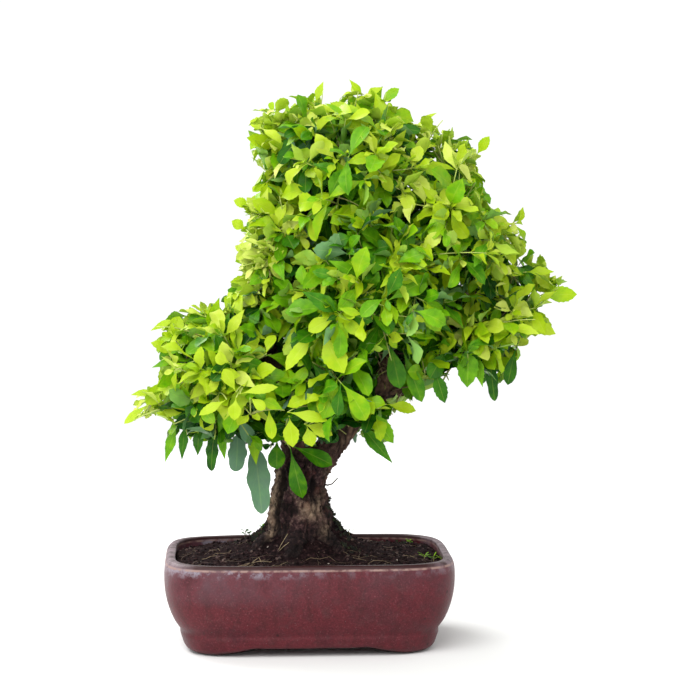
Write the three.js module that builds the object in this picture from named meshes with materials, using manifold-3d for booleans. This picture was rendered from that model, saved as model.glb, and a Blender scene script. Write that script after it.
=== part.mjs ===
// Golden dewdrop bonsai: a small tree with leafy shoots, its soil and its glazed pot.
// Millimetres, +Z up, +X to the right and +Y to the back of the pot. The shapes are set out round the
// middle of the pot's base, and the whole group is then moved so that its origin is the middle of the
// footprint of the whole plant, on the table.

import * as THREE from "three";
import { mergeVertices } from "three/addons/utils/BufferGeometryUtils.js";
import Module from "manifold-3d";

const wasm = await Module();
wasm.setup();

// Driving dimensions
const POT_WIDTH = 309;
const POT_DEPTH = 222;
const POT_HEIGHT = 97;
const POT_WALL = 10.5;
const POT_FLOOR_UNDER = 10;
const POT_FLOOR_TOP = 20;
const FOOT_RING = 14;
const CORNER_POWER = 5; // a superellipse of this power is a rectangle with round corners
const SEATING_GAP = 0.3;
const SLIVER = 0.08;
const SOIL_EDGE = 88;
const MOUND = { height: 64, reach: 45, centre: [-6, 26] };
const DRAIN_HOLE = { radius: 9, offset: 72 };
const SCREEN = { side: 32, thickness: 1.2, rib: 3 };
const LEAF_THICKNESS = 1.6;

// Materials, one for each kind of surface
const finish = (color, roughness) => new THREE.MeshStandardMaterial({ color, roughness, metalness: 0 });
const GLAZE = finish("#643137", 0.35);
const MESH_PLASTIC = finish("#2b2d2c", 0.7);
const SOIL = finish("#372a2b", 0.95);
const BARK = finish("#51403a", 0.9);
const FOLIAGE = finish("#73971d", 0.5);

// Solids for joining and cutting
function toSolid(geometry) {
  const bare = geometry.index ? geometry.toNonIndexed() : geometry.clone();
  bare.deleteAttribute("normal");
  bare.deleteAttribute("uv");
  const merged = mergeVertices(bare, 1e-4);
  return new wasm.Manifold(
    new wasm.Mesh({
      numProp: 3,
      vertProperties: merged.attributes.position.array,
      triVerts: new Uint32Array(merged.index.array),
    }),
  );
}

function toGeometry(solid) {
  const { vertProperties, triVerts } = solid.getMesh();
  const geometry = new THREE.BufferGeometry();
  geometry.setAttribute("position", new THREE.BufferAttribute(vertProperties, 3));
  geometry.setIndex(new THREE.BufferAttribute(triVerts, 1));
  geometry.computeVertexNormals();
  return geometry;
}

function piece(name, solid, material) {
  const mesh = new THREE.Mesh(toGeometry(solid), material.clone());
  mesh.name = name;
  return mesh;
}

// Joins solids, and closes up the slivers that are left where they cross.
const joined = (solids) => solids.reduce((sum, next) => sum.add(next)).simplify(SLIVER);

// A stack of rounded-rectangle rings, closed at both ends. Each level is a half width, a half depth
// and a height, which may be a function of the place.
const POWER = 2 / CORNER_POWER;
const roundedAxis = (value) => (Math.abs(value) < 1e-9 ? 0 : Math.sign(value) * Math.abs(value) ** POWER);

function ringStack(levels, segments = 32) {
  const profile = [
    new THREE.Vector2(0, 0),
    ...levels.map((level, j) => new THREE.Vector2(1, j)),
    new THREE.Vector2(0, levels.length - 1),
  ];
  const geometry = new THREE.LatheGeometry(profile, segments).rotateX(Math.PI / 2);
  const place = geometry.attributes.position;
  for (let i = 0; i < place.count; i += 1) {
    const ring = Math.round(place.getZ(i));
    const { halfWidth, halfDepth, height } = levels[ring];
    const x = halfWidth * roundedAxis(place.getX(i));
    const y = halfDepth * roundedAxis(place.getY(i));
    place.setXYZ(i, x, y, typeof height === "function" ? height(x, y) : height);
  }
  return toSolid(geometry);
}

// Pot
// Outside wall, from the foot up: share of the full width, and height.
const POT_OUTSIDE = [
  [0.81, 0], [0.848, 2.5], [0.865, 6], [0.88, 13], [0.886, 19], [0.914, 27], [0.938, 34], [0.972, 47],
  [0.992, 60], [1, 73], [0.998, 86], [0.989, 93], [0.975, 96.2], [0.962, POT_HEIGHT],
];

function potShareAt(height) {
  const above = POT_OUTSIDE.findIndex(([, level]) => level >= height);
  const [shareHigh, high] = POT_OUTSIDE[Math.max(above, 1)];
  const [shareLow, low] = POT_OUTSIDE[Math.max(above, 1) - 1];
  return THREE.MathUtils.mapLinear(height, low, high, shareLow, shareHigh);
}

function potLevel(share, height, inset = 0) {
  return {
    halfWidth: (POT_WIDTH / 2) * share - inset,
    halfDepth: (POT_DEPTH / 2) * share - inset,
    height,
  };
}

const CAVITY_HEIGHTS = [POT_FLOOR_TOP, 34, 47, 60, 73];
const RIM_SHARE = 0.99; // the inside wall runs straight up from the belly to the rim

const cavityLevels = (inset, topHeight) => [
  ...CAVITY_HEIGHTS.map((height) => potLevel(potShareAt(height), height, POT_WALL + inset)),
  potLevel(RIM_SHARE, topHeight, POT_WALL + inset),
];

// The gap in the apron between two corner feet. It rises slowly from a foot's end to a small peak and
// comes down a little to a level middle: run from the foot's end, and height.
const ARCH_RISE = [[0, 0], [10, 2.4], [24, 4.6], [34, 7.2], [42, 8.6], [54, 7.5]];
const ARCH_HALF_SPAN = { front: 98, side: 60 };

function archCut(halfSpan, length) {
  const rise = ARCH_RISE.map(([run, height]) => new THREE.Vector2(run - halfSpan, height));
  const fall = rise.map(({ x, y }) => new THREE.Vector2(-x, y)).reverse();
  const outline = new THREE.Shape();
  outline.moveTo(-halfSpan, -1);
  outline.lineTo(rise[0].x, rise[0].y);
  outline.splineThru(rise.slice(1));
  outline.lineTo(fall[0].x, fall[0].y);
  outline.splineThru(fall.slice(1));
  outline.lineTo(halfSpan, -1);
  const cut = new THREE.ExtrudeGeometry(outline, { depth: length, bevelEnabled: false, curveSegments: 2 });
  return cut.translate(0, 0, -length / 2).rotateX(Math.PI / 2);
}

function potSolid() {
  const outside = ringStack(POT_OUTSIDE.map(([share, height]) => potLevel(share, height)));
  const cavity = ringStack(cavityLevels(0, POT_HEIGHT + 5));
  const recess = ringStack([potLevel(0.85, -1, FOOT_RING), potLevel(0.87, POT_FLOOR_UNDER, FOOT_RING)]);
  const frontArch = toSolid(archCut(ARCH_HALF_SPAN.front, POT_DEPTH));
  const sideArch = toSolid(archCut(ARCH_HALF_SPAN.side, POT_WIDTH).rotateZ(Math.PI / 2));
  const drains = [-1, 1].map((side) =>
    toSolid(
      new THREE.CylinderGeometry(DRAIN_HOLE.radius, DRAIN_HOLE.radius, 30, 16)
        .rotateX(Math.PI / 2)
        .translate(side * DRAIN_HOLE.offset, 0, POT_FLOOR_UNDER),
    ),
  );
  return [cavity, recess, frontArch, sideArch, ...drains].reduce((left, cut) => left.subtract(cut), outside);
}

// Drain screens: a square of coarse plastic mesh over each drain hole.
const box = (width, depth, height, place) => toSolid(new THREE.BoxGeometry(width, depth, height).translate(...place));
const screenPlace = (side) => [side * DRAIN_HOLE.offset, 0, POT_FLOOR_TOP + SEATING_GAP + SCREEN.thickness / 2];

function screenSolid(side) {
  const [x, y, z] = screenPlace(side);
  const opening = (SCREEN.side - 3 * SCREEN.rib) / 2;
  const step = (opening + SCREEN.rib) / 2;
  let screen = box(SCREEN.side, SCREEN.side, SCREEN.thickness, [x, y, z]);
  for (const [right, back] of [[-1, -1], [-1, 1], [1, -1], [1, 1]]) {
    screen = screen.subtract(box(opening, opening, 10, [x + right * step, y + back * step, z]));
  }
  return screen;
}

function screenRoom(side) {
  const room = SCREEN.side + 2 * SEATING_GAP;
  return box(room, room, SCREEN.thickness + 2 * SEATING_GAP, screenPlace(side));
}

// Trunk and limbs
// Stations run from the thick end: x, y, z and radius.
const TRUNK = [
  [-7, 10, 62, 33], [-7, 10, 100, 37], [-7, 10, 122, 36], [-9, 9, 142, 31.5], [-10, 8, 160, 30],
  [-8, 6, 176, 28], [-4, 5, 192, 26], [0, 4, 206, 22],
];
const LIMBS = {
  left_limb: [[-6, 5, 182, 20], [-13, 3, 212, 16.5], [-23, -1, 240, 15], [-31, -5, 265, 14],
    [-37, -6, 300, 12], [-40, -4, 335, 10], [-28, 0, 378, 8], [-14, 4, 425, 6], [-20, 6, 460, 4]],
  left_bough: [[-33, -6, 272, 10], [-62, -14, 292, 8.5], [-95, -16, 294, 7], [-128, -12, 286, 5.5],
    [-148, -8, 276, 3.5]],
  left_bough_front: [[-66, -14, 292, 6.5], [-84, -42, 288, 5], [-90, -62, 284, 3]],
  left_bough_back: [[-72, -15, 293, 6.5], [-92, 16, 299, 5], [-100, 48, 300, 3]],
  right_limb: [[3, 5, 186, 19], [19, 6, 203, 15.5], [36, 8, 222, 14], [56, 10, 249, 13.5], [79, 10, 274, 13]],
  leader: [[78, 10, 268, 13.5], [85, 10, 301, 12], [93, 8, 328, 11], [86, 6, 366, 10], [62, 2, 398, 9],
    [40, 0, 430, 8], [30, 0, 475, 6.5], [30, 0, 520, 5], [40, 0, 548, 3]],
  right_bough: [[80, 10, 268, 12], [104, 6, 272, 9.5], [130, 0, 289, 8], [158, -4, 304, 7],
    [188, -6, 328, 5.5], [218, -4, 356, 3.5]],
  right_bough_back: [[138, -2, 293, 6], [158, 28, 310, 5], [172, 56, 325, 3]],
  shoulder_bough: [[90, 7, 344, 8], [112, 2, 378, 7], [134, -3, 418, 6], [150, -2, 458, 4.5], [158, 0, 486, 3]],
  shoulder_front: [[136, -3, 424, 5], [146, -34, 432, 4], [156, -54, 436, 3]],
  shoulder_back: [[130, -2, 412, 5], [142, 30, 426, 4], [150, 52, 434, 3]],
  centre_front: [[88, 6, 352, 7.5], [80, -30, 366, 6], [66, -64, 376, 5], [54, -90, 378, 3]],
  centre_back: [[74, 4, 384, 7], [70, 40, 388, 6], [60, 74, 388, 4.5], [54, 92, 386, 3]],
  low_front: [[-22, 0, 230, 7], [-6, -26, 256, 6], [14, -50, 266, 4.5], [28, -64, 268, 3]],
  low_back: [[56, 10, 244, 7], [50, 40, 262, 5.5], [40, 66, 272, 3]],
  crown_left: [[30, 0, 476, 5.5], [2, -3, 504, 4.5], [-26, -2, 524, 3]],
  crown_right: [[30, 0, 486, 5.5], [66, -6, 512, 4.5], [96, -4, 524, 3]],
  crown_front: [[30, 0, 466, 5.5], [34, -32, 486, 4.5], [38, -52, 496, 3]],
  crown_back: [[31, 0, 470, 5.5], [36, 34, 488, 4.5], [40, 56, 500, 3]],
};
const ROOTS = [
  [[-8, 8, 118, 17], [-46, -6, 104, 11], [-66, -12, 84, 6]],
  [[-6, 4, 118, 17], [-16, -34, 102, 11], [-22, -52, 82, 6]],
  [[-4, 6, 118, 17], [26, -18, 103, 11], [42, -32, 84, 6]],
  [[-4, 10, 118, 17], [34, 20, 103, 11], [54, 30, 82, 6]],
  [[-10, 14, 118, 17], [-34, 44, 102, 11], [-42, 60, 84, 6]],
];

const stationPlace = ([x, y, z]) => new THREE.Vector3(x, y, z);

// A round tube that follows its stations and tapers with them. A swell makes it that much fatter, and
// longer at both ends.
const overrun = (step, steps) => (step === steps) - (step === 0);

function taperedTube(stations, sides, steps, swell = 0) {
  const curve = new THREE.CatmullRomCurve3(stations.map(stationPlace));
  const { binormals, normals } = curve.computeFrenetFrames(steps, false);
  const tube = new THREE.CylinderGeometry(1, 1, 1, sides, steps);
  const place = tube.attributes.position;
  for (let i = 0; i < place.count; i += 1) {
    const along = place.getY(i) + 0.5;
    const step = Math.round(along * steps);
    const t = curve.getUtoTmapping(along) * (stations.length - 1);
    const before = Math.min(Math.floor(t), stations.length - 2);
    const radius = swell + THREE.MathUtils.lerp(stations[before][3], stations[before + 1][3], t - before);
    const point = curve
      .getPointAt(along)
      .addScaledVector(binormals[step], place.getX(i) * radius)
      .addScaledVector(normals[step], place.getZ(i) * radius)
      .addScaledVector(curve.getTangentAt(along), swell * overrun(step, steps));
    place.setXYZ(i, point.x, point.y, point.z);
  }
  return toSolid(tube);
}

function woodSolid(swell) {
  const trunk = taperedTube(TRUNK, 12, 9, swell);
  const roots = ROOTS.map((root) => taperedTube(root, 7, 4, swell));
  const limbs = Object.values(LIMBS).map((limb) => {
    const sides = limb[0][3] > 10 ? 9 : 5;
    return taperedTube(limb, sides, limb.length, swell);
  });
  return joined([trunk, ...roots, ...limbs]);
}

// Soil: fills the pot and mounds up round the trunk.
function soilHeight(x, y) {
  const { halfWidth, halfDepth } = potLevel(1, 0, POT_WALL);
  const edge = Math.abs(x / halfWidth) ** CORNER_POWER + Math.abs(y / halfDepth) ** CORNER_POWER;
  const fromMound = Math.hypot(x - MOUND.centre[0], y - MOUND.centre[1]) / MOUND.reach;
  return SOIL_EDGE + 5 * (1 - Math.min(edge, 1)) + MOUND.height * Math.exp(-(fromMound ** 2));
}

function soilSolid(wood) {
  const sides = cavityLevels(SEATING_GAP, SOIL_EDGE);
  sides[0].height += SEATING_GAP;
  const rim = sides[sides.length - 1];
  const surface = [0.88, 0.68, 0.5, 0.36, 0.22].map((share) => ({
    halfWidth: rim.halfWidth * share,
    halfDepth: rim.halfDepth * share,
    height: soilHeight,
  }));
  return ringStack([...sides, ...surface])
    .subtract(wood)
    .subtract(screenRoom(-1))
    .subtract(screenRoom(1));
}

// Shoots
// Where the outermost leaf of each shoot ends, region by region: x, y and z.
const SHOOT_TIPS = {
  crown: [[10, -6, 590], [58, -20, 586], [84, 12, 584], [-22, -14, 572], [-56, 0, 554], [-50, 14, 518],
    [124, -6, 550], [36, -92, 546], [-16, -80, 526], [96, -84, 536], [44, 96, 542], [112, 84, 526]],
  shoulder: [[172, 0, 528], [178, -24, 504], [182, 16, 476], [146, -108, 492], [220, -2, 456],
    [196, -84, 440], [176, 92, 474]],
  right: [[240, 4, 412], [272, -8, 376], [258, 10, 338], [200, 6, 272], [214, -98, 368],
    [165, -105, 300], [128, -48, 266], [206, 96, 350]],
  centre: [[24, -128, 462], [92, -140, 436], [128, -144, 378], [46, -150, 386], [20, -140, 316],
    [84, -138, 322], [-14, -122, 370], [64, 146, 420], [110, 140, 350], [10, 128, 360]],
  left_shoulder: [[-62, 4, 466], [-68, -12, 416], [-34, -96, 426], [-44, 84, 430]],
  left_pad: [[-150, 2, 338], [-112, -30, 358], [-160, -24, 306], [-184, -6, 254], [-148, -16, 216],
    [-104, -62, 214], [-62, -104, 326], [-108, -100, 290], [-136, 76, 300]],
  low: [[-54, -58, 204], [-8, -104, 240], [44, -96, 236], [84, -30, 212], [30, 92, 250]],
};
const TWIG = { baseRadius: 2.2, tipRadius: 1.1, sides: 3, steps: 4, leafRoom: 18, shortest: 52 };
const PAIR_SHARES = [0.9, 0.68]; // where the leaf pairs stand along the twig
const LEAF = { tipLength: 24, growth: 22, widthShare: 0.5, splay: 58 };
const degrees = THREE.MathUtils.degToRad;

// What is tried, in order, until a twig or a leaf keeps clear of all that is placed already.
const STANDS_TRIED = 12;
const BENDS = [0, 0.12, -0.12, 0.24, -0.24];
const TURNS = [0, 24, -24, 48, -48, 72, -72].map(degrees);

// A steady pseudo-random share between 0 and 1 for a whole number.
const shareOf = (n) => {
  const value = Math.sin(n * 12.9898 + 4.1414) * 43758.5453;
  return value - Math.floor(value);
};

const CROWN_CENTRE = new THREE.Vector3(40, 0, 360);
const UP = new THREE.Vector3(0, 0, 1);

// Points down the middle of every limb, where a shoot may stand.
const standingPoints = Object.values(LIMBS).flatMap((limb) => {
  const curve = new THREE.CatmullRomCurve3(limb.map(stationPlace));
  return curve.getSpacedPoints(10).slice(3);
});

function nearestStands(tip) {
  return standingPoints
    .filter((point) => point.distanceTo(tip) > TWIG.shortest + TWIG.leafRoom)
    .sort((a, b) => a.distanceTo(tip) - b.distanceTo(tip))
    .slice(0, STANDS_TRIED);
}

// The middle line of a shoot's twig, arched a little upwards.
function twigCurve(stand, tip, bend) {
  const run = tip.clone().sub(stand);
  const length = run.length();
  const end = tip.clone().addScaledVector(run, -TWIG.leafRoom / length);
  const sideways = new THREE.Vector3().crossVectors(run, UP).normalize();
  const middle = stand.clone().lerp(end, 0.5);
  middle.addScaledVector(UP, 0.1 * length).addScaledVector(sideways, bend * length);
  return new THREE.QuadraticBezierCurve3(stand, middle, end);
}

function twigSolid(curve) {
  const stations = curve.getPoints(3).map((point, i) => [
    point.x, point.y, point.z, THREE.MathUtils.lerp(TWIG.baseRadius, TWIG.tipRadius, i / 3),
  ]);
  return taperedTube(stations, TWIG.sides, TWIG.steps);
}

// A leaf blade: a six-sided, thin double wedge that is widest beyond its middle.
function leafSolid(length, width, base, along, face) {
  const blade = new THREE.SphereGeometry(1, 6, 2).rotateX(Math.PI / 2);
  const place = blade.attributes.position;
  for (let i = 0; i < place.count; i += 1) {
    const x = place.getX(i);
    const y = place.getY(i) * (1 + 0.45 * x);
    place.setXYZ(i, (x + 0.94) * (length / 2), y * (width / 1.9), place.getZ(i) * (LEAF_THICKNESS / 2));
  }
  const normal = face.clone().addScaledVector(along, -face.dot(along)).normalize();
  const across = new THREE.Vector3().crossVectors(normal, along);
  blade.applyMatrix4(new THREE.Matrix4().makeBasis(along, across, normal).setPosition(base));
  return toSolid(blade);
}

// The leaves of one shoot: one at the tip and a pair at each share of the twig, each pair turned a
// quarter round from the last.
function leafPlans(curve, seed) {
  const plans = [];
  const outward = curve.v2.clone().sub(CROWN_CENTRE).normalize();
  const plan = (share, turn, splay, n) => {
    const base = curve.getPoint(share);
    const forward = curve.getTangent(share);
    const side = new THREE.Vector3().crossVectors(forward, UP).normalize();
    const roll = turn + (shareOf(n) - 0.5) * 0.7;
    const lean = side.applyAxisAngle(forward, roll);
    const along = forward.multiplyScalar(Math.cos(splay)).addScaledVector(lean, Math.sin(splay)).normalize();
    along.z -= 0.25 * shareOf(n + 1);
    along.normalize();
    const face = outward.clone().addScaledVector(UP, 0.8);
    face.x += (shareOf(n + 2) - 0.5) * 0.7;
    face.y += (shareOf(n + 3) - 0.5) * 0.7;
    const length = LEAF.tipLength + LEAF.growth * (1 - share) + 8 * (shareOf(n + 4) - 0.5);
    plans.push({ base, along, face, length, width: length * LEAF.widthShare, forward: curve.getTangent(share) });
  };
  plan(1, 0, 0.15, seed);
  PAIR_SHARES.forEach((share, pair) => {
    for (const half of [0, 1]) {
      plan(share, half * Math.PI + (pair * Math.PI) / 2, degrees(LEAF.splay), seed + 10 * (2 * pair + half + 1));
    }
  });
  return plans;
}

// Solids that are already placed, each with its box, so that the next one keeps clear of them.
const placed = [];
const CLEARANCE = 0.4;

function boxesNear(a, b) {
  return [0, 1, 2].every((k) => a.min[k] < b.max[k] + CLEARANCE && b.min[k] < a.max[k] + CLEARANCE);
}

function isClear(solid, owner) {
  const box = solid.boundingBox();
  return placed.every(
    (other) =>
      other.owner === owner || !boxesNear(box, other.box) || other.solid.minGap(solid, CLEARANCE) >= CLEARANCE,
  );
}

function keepPlace(solid, owner) {
  placed.push({ solid, owner, box: solid.boundingBox() });
}

// The twig stands on its limb with a narrow seat, where the swollen wood is cut away from it.
function seatedTwig(tip, woodRoom) {
  for (const stand of nearestStands(tip)) {
    for (const bend of BENDS) {
      const curve = twigCurve(stand, tip, bend);
      const cut = twigSolid(curve).subtract(woodRoom).decompose();
      const outer = cut.reduce((best, part) => (part.volume() > best.volume() ? part : best));
      if (isClear(outer, "trunk")) return { curve, solid: outer };
    }
  }
  throw new Error(`no free way for a twig to ${tip.toArray()}`);
}

function leafClearOf(plan, owner) {
  for (const turn of TURNS) {
    const along = plan.along.clone().applyAxisAngle(plan.forward, turn);
    const leaf = leafSolid(plan.length, plan.width, plan.base, along, plan.face);
    if (isClear(leaf, owner)) return leaf;
  }
  return null;
}

function shootSolids(wood, woodRoom) {
  keepPlace(wood, "trunk");
  const shoots = [];
  Object.entries(SHOOT_TIPS).forEach(([region, tips], r) => {
    tips.forEach((tip, i) => {
      const name = `shoot_${region}_${String(i + 1).padStart(2, "0")}`;
      const twig = seatedTwig(new THREE.Vector3(...tip), woodRoom);
      keepPlace(twig.solid, name);
      shoots.push({ name, seed: 1000 * (r + 1) + 100 * i, ...twig });
    });
  });
  for (const shoot of shoots) {
    const leaves = leafPlans(shoot.curve, shoot.seed)
      .map((plan) => leafClearOf(plan, shoot.name))
      .filter((leaf) => leaf);
    leaves.forEach((leaf) => keepPlace(leaf, shoot.name));
    shoot.solid = joined([shoot.solid, ...leaves]);
  }
  return shoots;
}

// The whole plant
const wood = woodSolid(0);
const woodRoom = woodSolid(SEATING_GAP);

const bonsai = new THREE.Group();
const holder = new THREE.Group();
holder.add(piece("pot", potSolid(), GLAZE));
holder.add(piece("drain_screen_left", screenSolid(-1), MESH_PLASTIC));
holder.add(piece("drain_screen_right", screenSolid(1), MESH_PLASTIC));
holder.add(piece("soil", soilSolid(woodRoom), SOIL));
const tree = new THREE.Group();
tree.add(piece("trunk", wood, BARK));
for (const { name, solid } of shootSolids(wood, woodRoom)) tree.add(piece(name, solid, FOLIAGE));
bonsai.add(holder, tree);

const reach = new THREE.Box3().setFromObject(bonsai, true);
for (const part of [holder, tree]) {
  part.position.set(-(reach.min.x + reach.max.x) / 2, -(reach.min.y + reach.max.y) / 2, 0);
}

export default bonsai;
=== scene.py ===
# %% [markdown]
# # A golden dewdrop bonsai in its pot
# This lesson dresses a plain frame of solids as a small tree. The frame gives the true size and place of
# the pot, the soil, the trunk and every leafy shoot. Here each of them gets its real surface: the leaves
# with their teeth and veins, the furrowed bark, the crumbs of peat and the fired glaze.

import math
import random

import bmesh
import bpy
import numpy as np
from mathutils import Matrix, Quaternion, Vector, noise
from mathutils.bvhtree import BVHTree


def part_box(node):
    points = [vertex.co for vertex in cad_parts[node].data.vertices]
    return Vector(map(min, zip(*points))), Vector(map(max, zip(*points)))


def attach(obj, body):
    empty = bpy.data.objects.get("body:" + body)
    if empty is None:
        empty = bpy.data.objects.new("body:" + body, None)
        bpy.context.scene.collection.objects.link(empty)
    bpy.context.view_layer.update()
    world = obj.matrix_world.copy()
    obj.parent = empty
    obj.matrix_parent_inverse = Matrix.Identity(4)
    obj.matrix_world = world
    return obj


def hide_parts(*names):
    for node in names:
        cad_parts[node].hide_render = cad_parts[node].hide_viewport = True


noise.seed_set(1)  # without a seed of its own, part of this noise follows the clock
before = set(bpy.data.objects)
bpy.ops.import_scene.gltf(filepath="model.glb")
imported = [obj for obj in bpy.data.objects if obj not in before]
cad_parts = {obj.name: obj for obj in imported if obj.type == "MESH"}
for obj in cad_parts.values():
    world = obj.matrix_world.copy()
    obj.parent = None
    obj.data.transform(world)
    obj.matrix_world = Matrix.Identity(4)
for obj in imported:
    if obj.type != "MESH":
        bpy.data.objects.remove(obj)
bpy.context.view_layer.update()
BODY = "root"
MM = 0.001
UP = Vector((0, 0, 1))

pot_low, pot_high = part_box("pot")
HOME = Vector(((pot_low.x + pot_high.x) / 2, (pot_low.y + pot_high.y) / 2, 0))


def at(x, y, z):
    """A place given in millimetres from the middle of the pot's base, in the frame's metres."""
    return HOME + Vector((x, y, z)) * MM


print("nodes", len(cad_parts), "pot's middle in mm", [round(v / MM, 1) for v in HOME])

# %% [markdown]
# ## Camera, light and floor
# The plant stands in a white studio. A camera far back with a long lens keeps the pot's lines nearly
# parallel. White surroundings light it evenly from all sides, which is what makes the shadows so soft.
# One broad lamp from the upper left shapes the crown, and one behind it shines through the young leaves.

# %% Camera
# Distance and height in mm. The camera stands a little to the left, looks past the pot's middle to the
# right, and looks down.
CAMERA_AWAY = 2300
CAMERA_HEIGHT = 480.2
CAMERA_ROUND = math.radians(-2.4)
CAMERA_TURN = math.radians(-1.13)
CAMERA_DOWN = math.radians(4.163)
LENS = 110.57
SENSOR = 36

camera_data = bpy.data.cameras.new("camera")
camera_data.lens = LENS
camera_data.sensor_width = SENSOR
camera = bpy.data.objects.new("camera", camera_data)
camera.location = at(
    math.sin(CAMERA_ROUND) * CAMERA_AWAY, -math.cos(CAMERA_ROUND) * CAMERA_AWAY, CAMERA_HEIGHT
)
camera.rotation_euler = (math.pi / 2 - CAMERA_DOWN, 0, CAMERA_ROUND + CAMERA_TURN)
bpy.context.scene.collection.objects.link(camera)
bpy.context.scene.camera = camera
bpy.context.scene.view_settings.view_transform = "Standard"
print("camera at", [round(v, 3) for v in camera.location])

# %% Lamps
CROWN_MIDDLE = at(40, 0, 340)


def softbox(name, place, size, watts):
    """A square lamp of a side in metres that looks at the middle of the crown."""
    data = bpy.data.lights.new(name, "AREA")
    data.size = size
    data.energy = watts
    lamp = bpy.data.objects.new(name, data)
    lamp.location = place
    lamp.rotation_mode = "QUATERNION"
    lamp.rotation_quaternion = (CROWN_MIDDLE - place).to_track_quat("-Z", "Y")
    bpy.context.scene.collection.objects.link(lamp)


softbox("key", at(-700, -1500, 1700), 2.0, 54)
softbox("from_behind", at(-900, 1000, 1500), 1.2, 34)
print("two lamps")

# %% [markdown]
# ## How a material is made here
# Colours are given as hex values, as on a painter's chart, and turned to linear light once. A single small
# function adds a node, sets its values and links its inputs, so that each material reads as a list of what
# it does. Every pattern gets its size in millimetres.

# %% Colour and node helpers
def linear(hex_colour):
    """A hex colour as linear red, green, blue and alpha."""
    shares = [int(hex_colour[i : i + 2], 16) / 255 for i in (1, 3, 5)]
    return (*[s / 12.92 if s <= 0.04045 else ((s + 0.055) / 1.055) ** 2.4 for s in shares], 1.0)


def add(tree, kind, inputs=None, out=0, stops=(), **settings):
    """Adds one node and gives back one of its outputs.

    An input takes a value, a hex colour or the socket that feeds it. A colour ramp takes its stops as
    shares and hex colours.
    """
    made = tree.nodes.new("ShaderNode" + kind)
    for name, value in settings.items():
        setattr(made, name, value)
    for key, value in (inputs or {}).items():
        if isinstance(value, bpy.types.NodeSocket):
            tree.links.new(value, made.inputs[key])
        else:
            made.inputs[key].default_value = linear(value) if isinstance(value, str) else value
    for number, (share, colour) in enumerate(stops):
        band = made.color_ramp.elements
        stop = band[number] if number < len(band) else band.new(share)
        stop.position = share
        stop.color = linear(colour)
    return made.outputs[out] if len(made.outputs) else made


def per_mm(size):
    """The scale of a pattern whose lumps or cells are that many millimetres across."""
    return 1 / (size * MM)


def blank_material(name):
    """A new material, its empty node tree, and the place in space that its patterns start from."""
    made = bpy.data.materials.new(name)
    made.use_nodes = True
    made.node_tree.nodes.clear()
    return made, made.node_tree, add(made.node_tree, "TexCoord", out="Object")


COLOUR = {"data_type": "RGBA", "out": 2}  # a Mix node for colours: inputs 0 factor, 6 and 7 the colours

# %% [markdown]
# ## Pieces and their place
# A finished piece stays at the origin and holds its place in its mesh, as the frame's own solids do. It
# rides on the frame's one body, takes its finish from a named slot, and may stand for a solid of the
# frame. Whatever is left to chance is drawn from a generator with a fixed seed, which is handed from
# function to function as luck, so every run grows the same tree.

# %% Piece helpers
def mesh_of(bm, name, smooth=True):
    """Turns a bmesh into a mesh and frees it."""
    for face in bm.faces:
        face.smooth = smooth
    mesh = bpy.data.meshes.new(name)
    bm.to_mesh(mesh)
    bm.free()
    return mesh


def piece(name, mesh, materials, replaced=()):
    """Makes the object, hangs it on the body that it rides on, and hides the solids that it stands for."""
    for finish in materials:
        mesh.materials.append(finish)
    made = bpy.data.objects.new(name, mesh)
    bpy.context.scene.collection.objects.link(made)
    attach(made, BODY)
    if replaced:
        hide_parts(*replaced)
    print("piece", name, "with", len(mesh.polygons), "faces")


def applied(mesh, kind, **settings):
    """The mesh as it comes out of one modifier."""
    holder = bpy.data.objects.new("holder", mesh)
    bpy.context.scene.collection.objects.link(holder)
    modifier = holder.modifiers.new("step", kind)
    for name, value in settings.items():
        setattr(modifier, name, value)
    shown = holder.evaluated_get(bpy.context.evaluated_depsgraph_get())
    result = bpy.data.meshes.new_from_object(shown)
    bpy.data.objects.remove(holder)
    bpy.data.meshes.remove(mesh)
    return result


def surface_of(mesh):
    """The faces of a mesh, ready to be searched for the point nearest to a place or below it."""
    return BVHTree.FromPolygons([v.co for v in mesh.vertices], [p.vertices for p in mesh.polygons])


def jitter(luck, reach):
    """A random vector whose three parts each lie between -reach and reach."""
    return Vector([luck.uniform(-reach, reach) for _ in range(3)])


# %% Floor and white room
FLOOR_SIDE = 3.4
FLOOR_DROP = 0.3 * MM  # the paper lies this far below the feet
ROOM_LIGHT = 1.06
paper, tree, here = blank_material("matte_white_studio_paper")
away = add(tree, "VectorMath", {0: here}, out="Value", operation="LENGTH")
away = add(tree, "MapRange", {0: away, 1: 0.35, 2: 1.5})
fibre = add(tree, "TexNoise", {"Vector": here, "Scale": per_mm(2), "Detail": 3})
near_tone = add(tree, "Mix", {0: fibre, 6: "#DEDEDD", 7: "#E1E1E0"}, **COLOUR)
tone = add(tree, "Mix", {0: away, 6: near_tone, 7: "#FAFAFA"}, **COLOUR)
shader = add(tree, "BsdfPrincipled", {"Base Color": tone, "Roughness": 0.9, "Specular IOR Level": 0.1})
add(tree, "OutputMaterial", {"Surface": shader})

floor_bm = bmesh.new()
bmesh.ops.create_grid(floor_bm, x_segments=1, y_segments=1, size=FLOOR_SIDE / 2)
bmesh.ops.translate(floor_bm, vec=-UP * FLOOR_DROP, verts=floor_bm.verts[:])
floor = bpy.data.objects.new("floor", mesh_of(floor_bm, "floor", smooth=False))
floor.data.materials.append(paper)
bpy.context.scene.collection.objects.link(floor)

world = bpy.data.worlds.new("white_room")
world.use_nodes = True
sky = world.node_tree.nodes["Background"]
sky.inputs["Color"].default_value = linear("#FFFFFF")
sky.inputs["Strength"].default_value = ROOM_LIGHT
bpy.context.scene.world = world
print("floor and white room")

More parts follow.
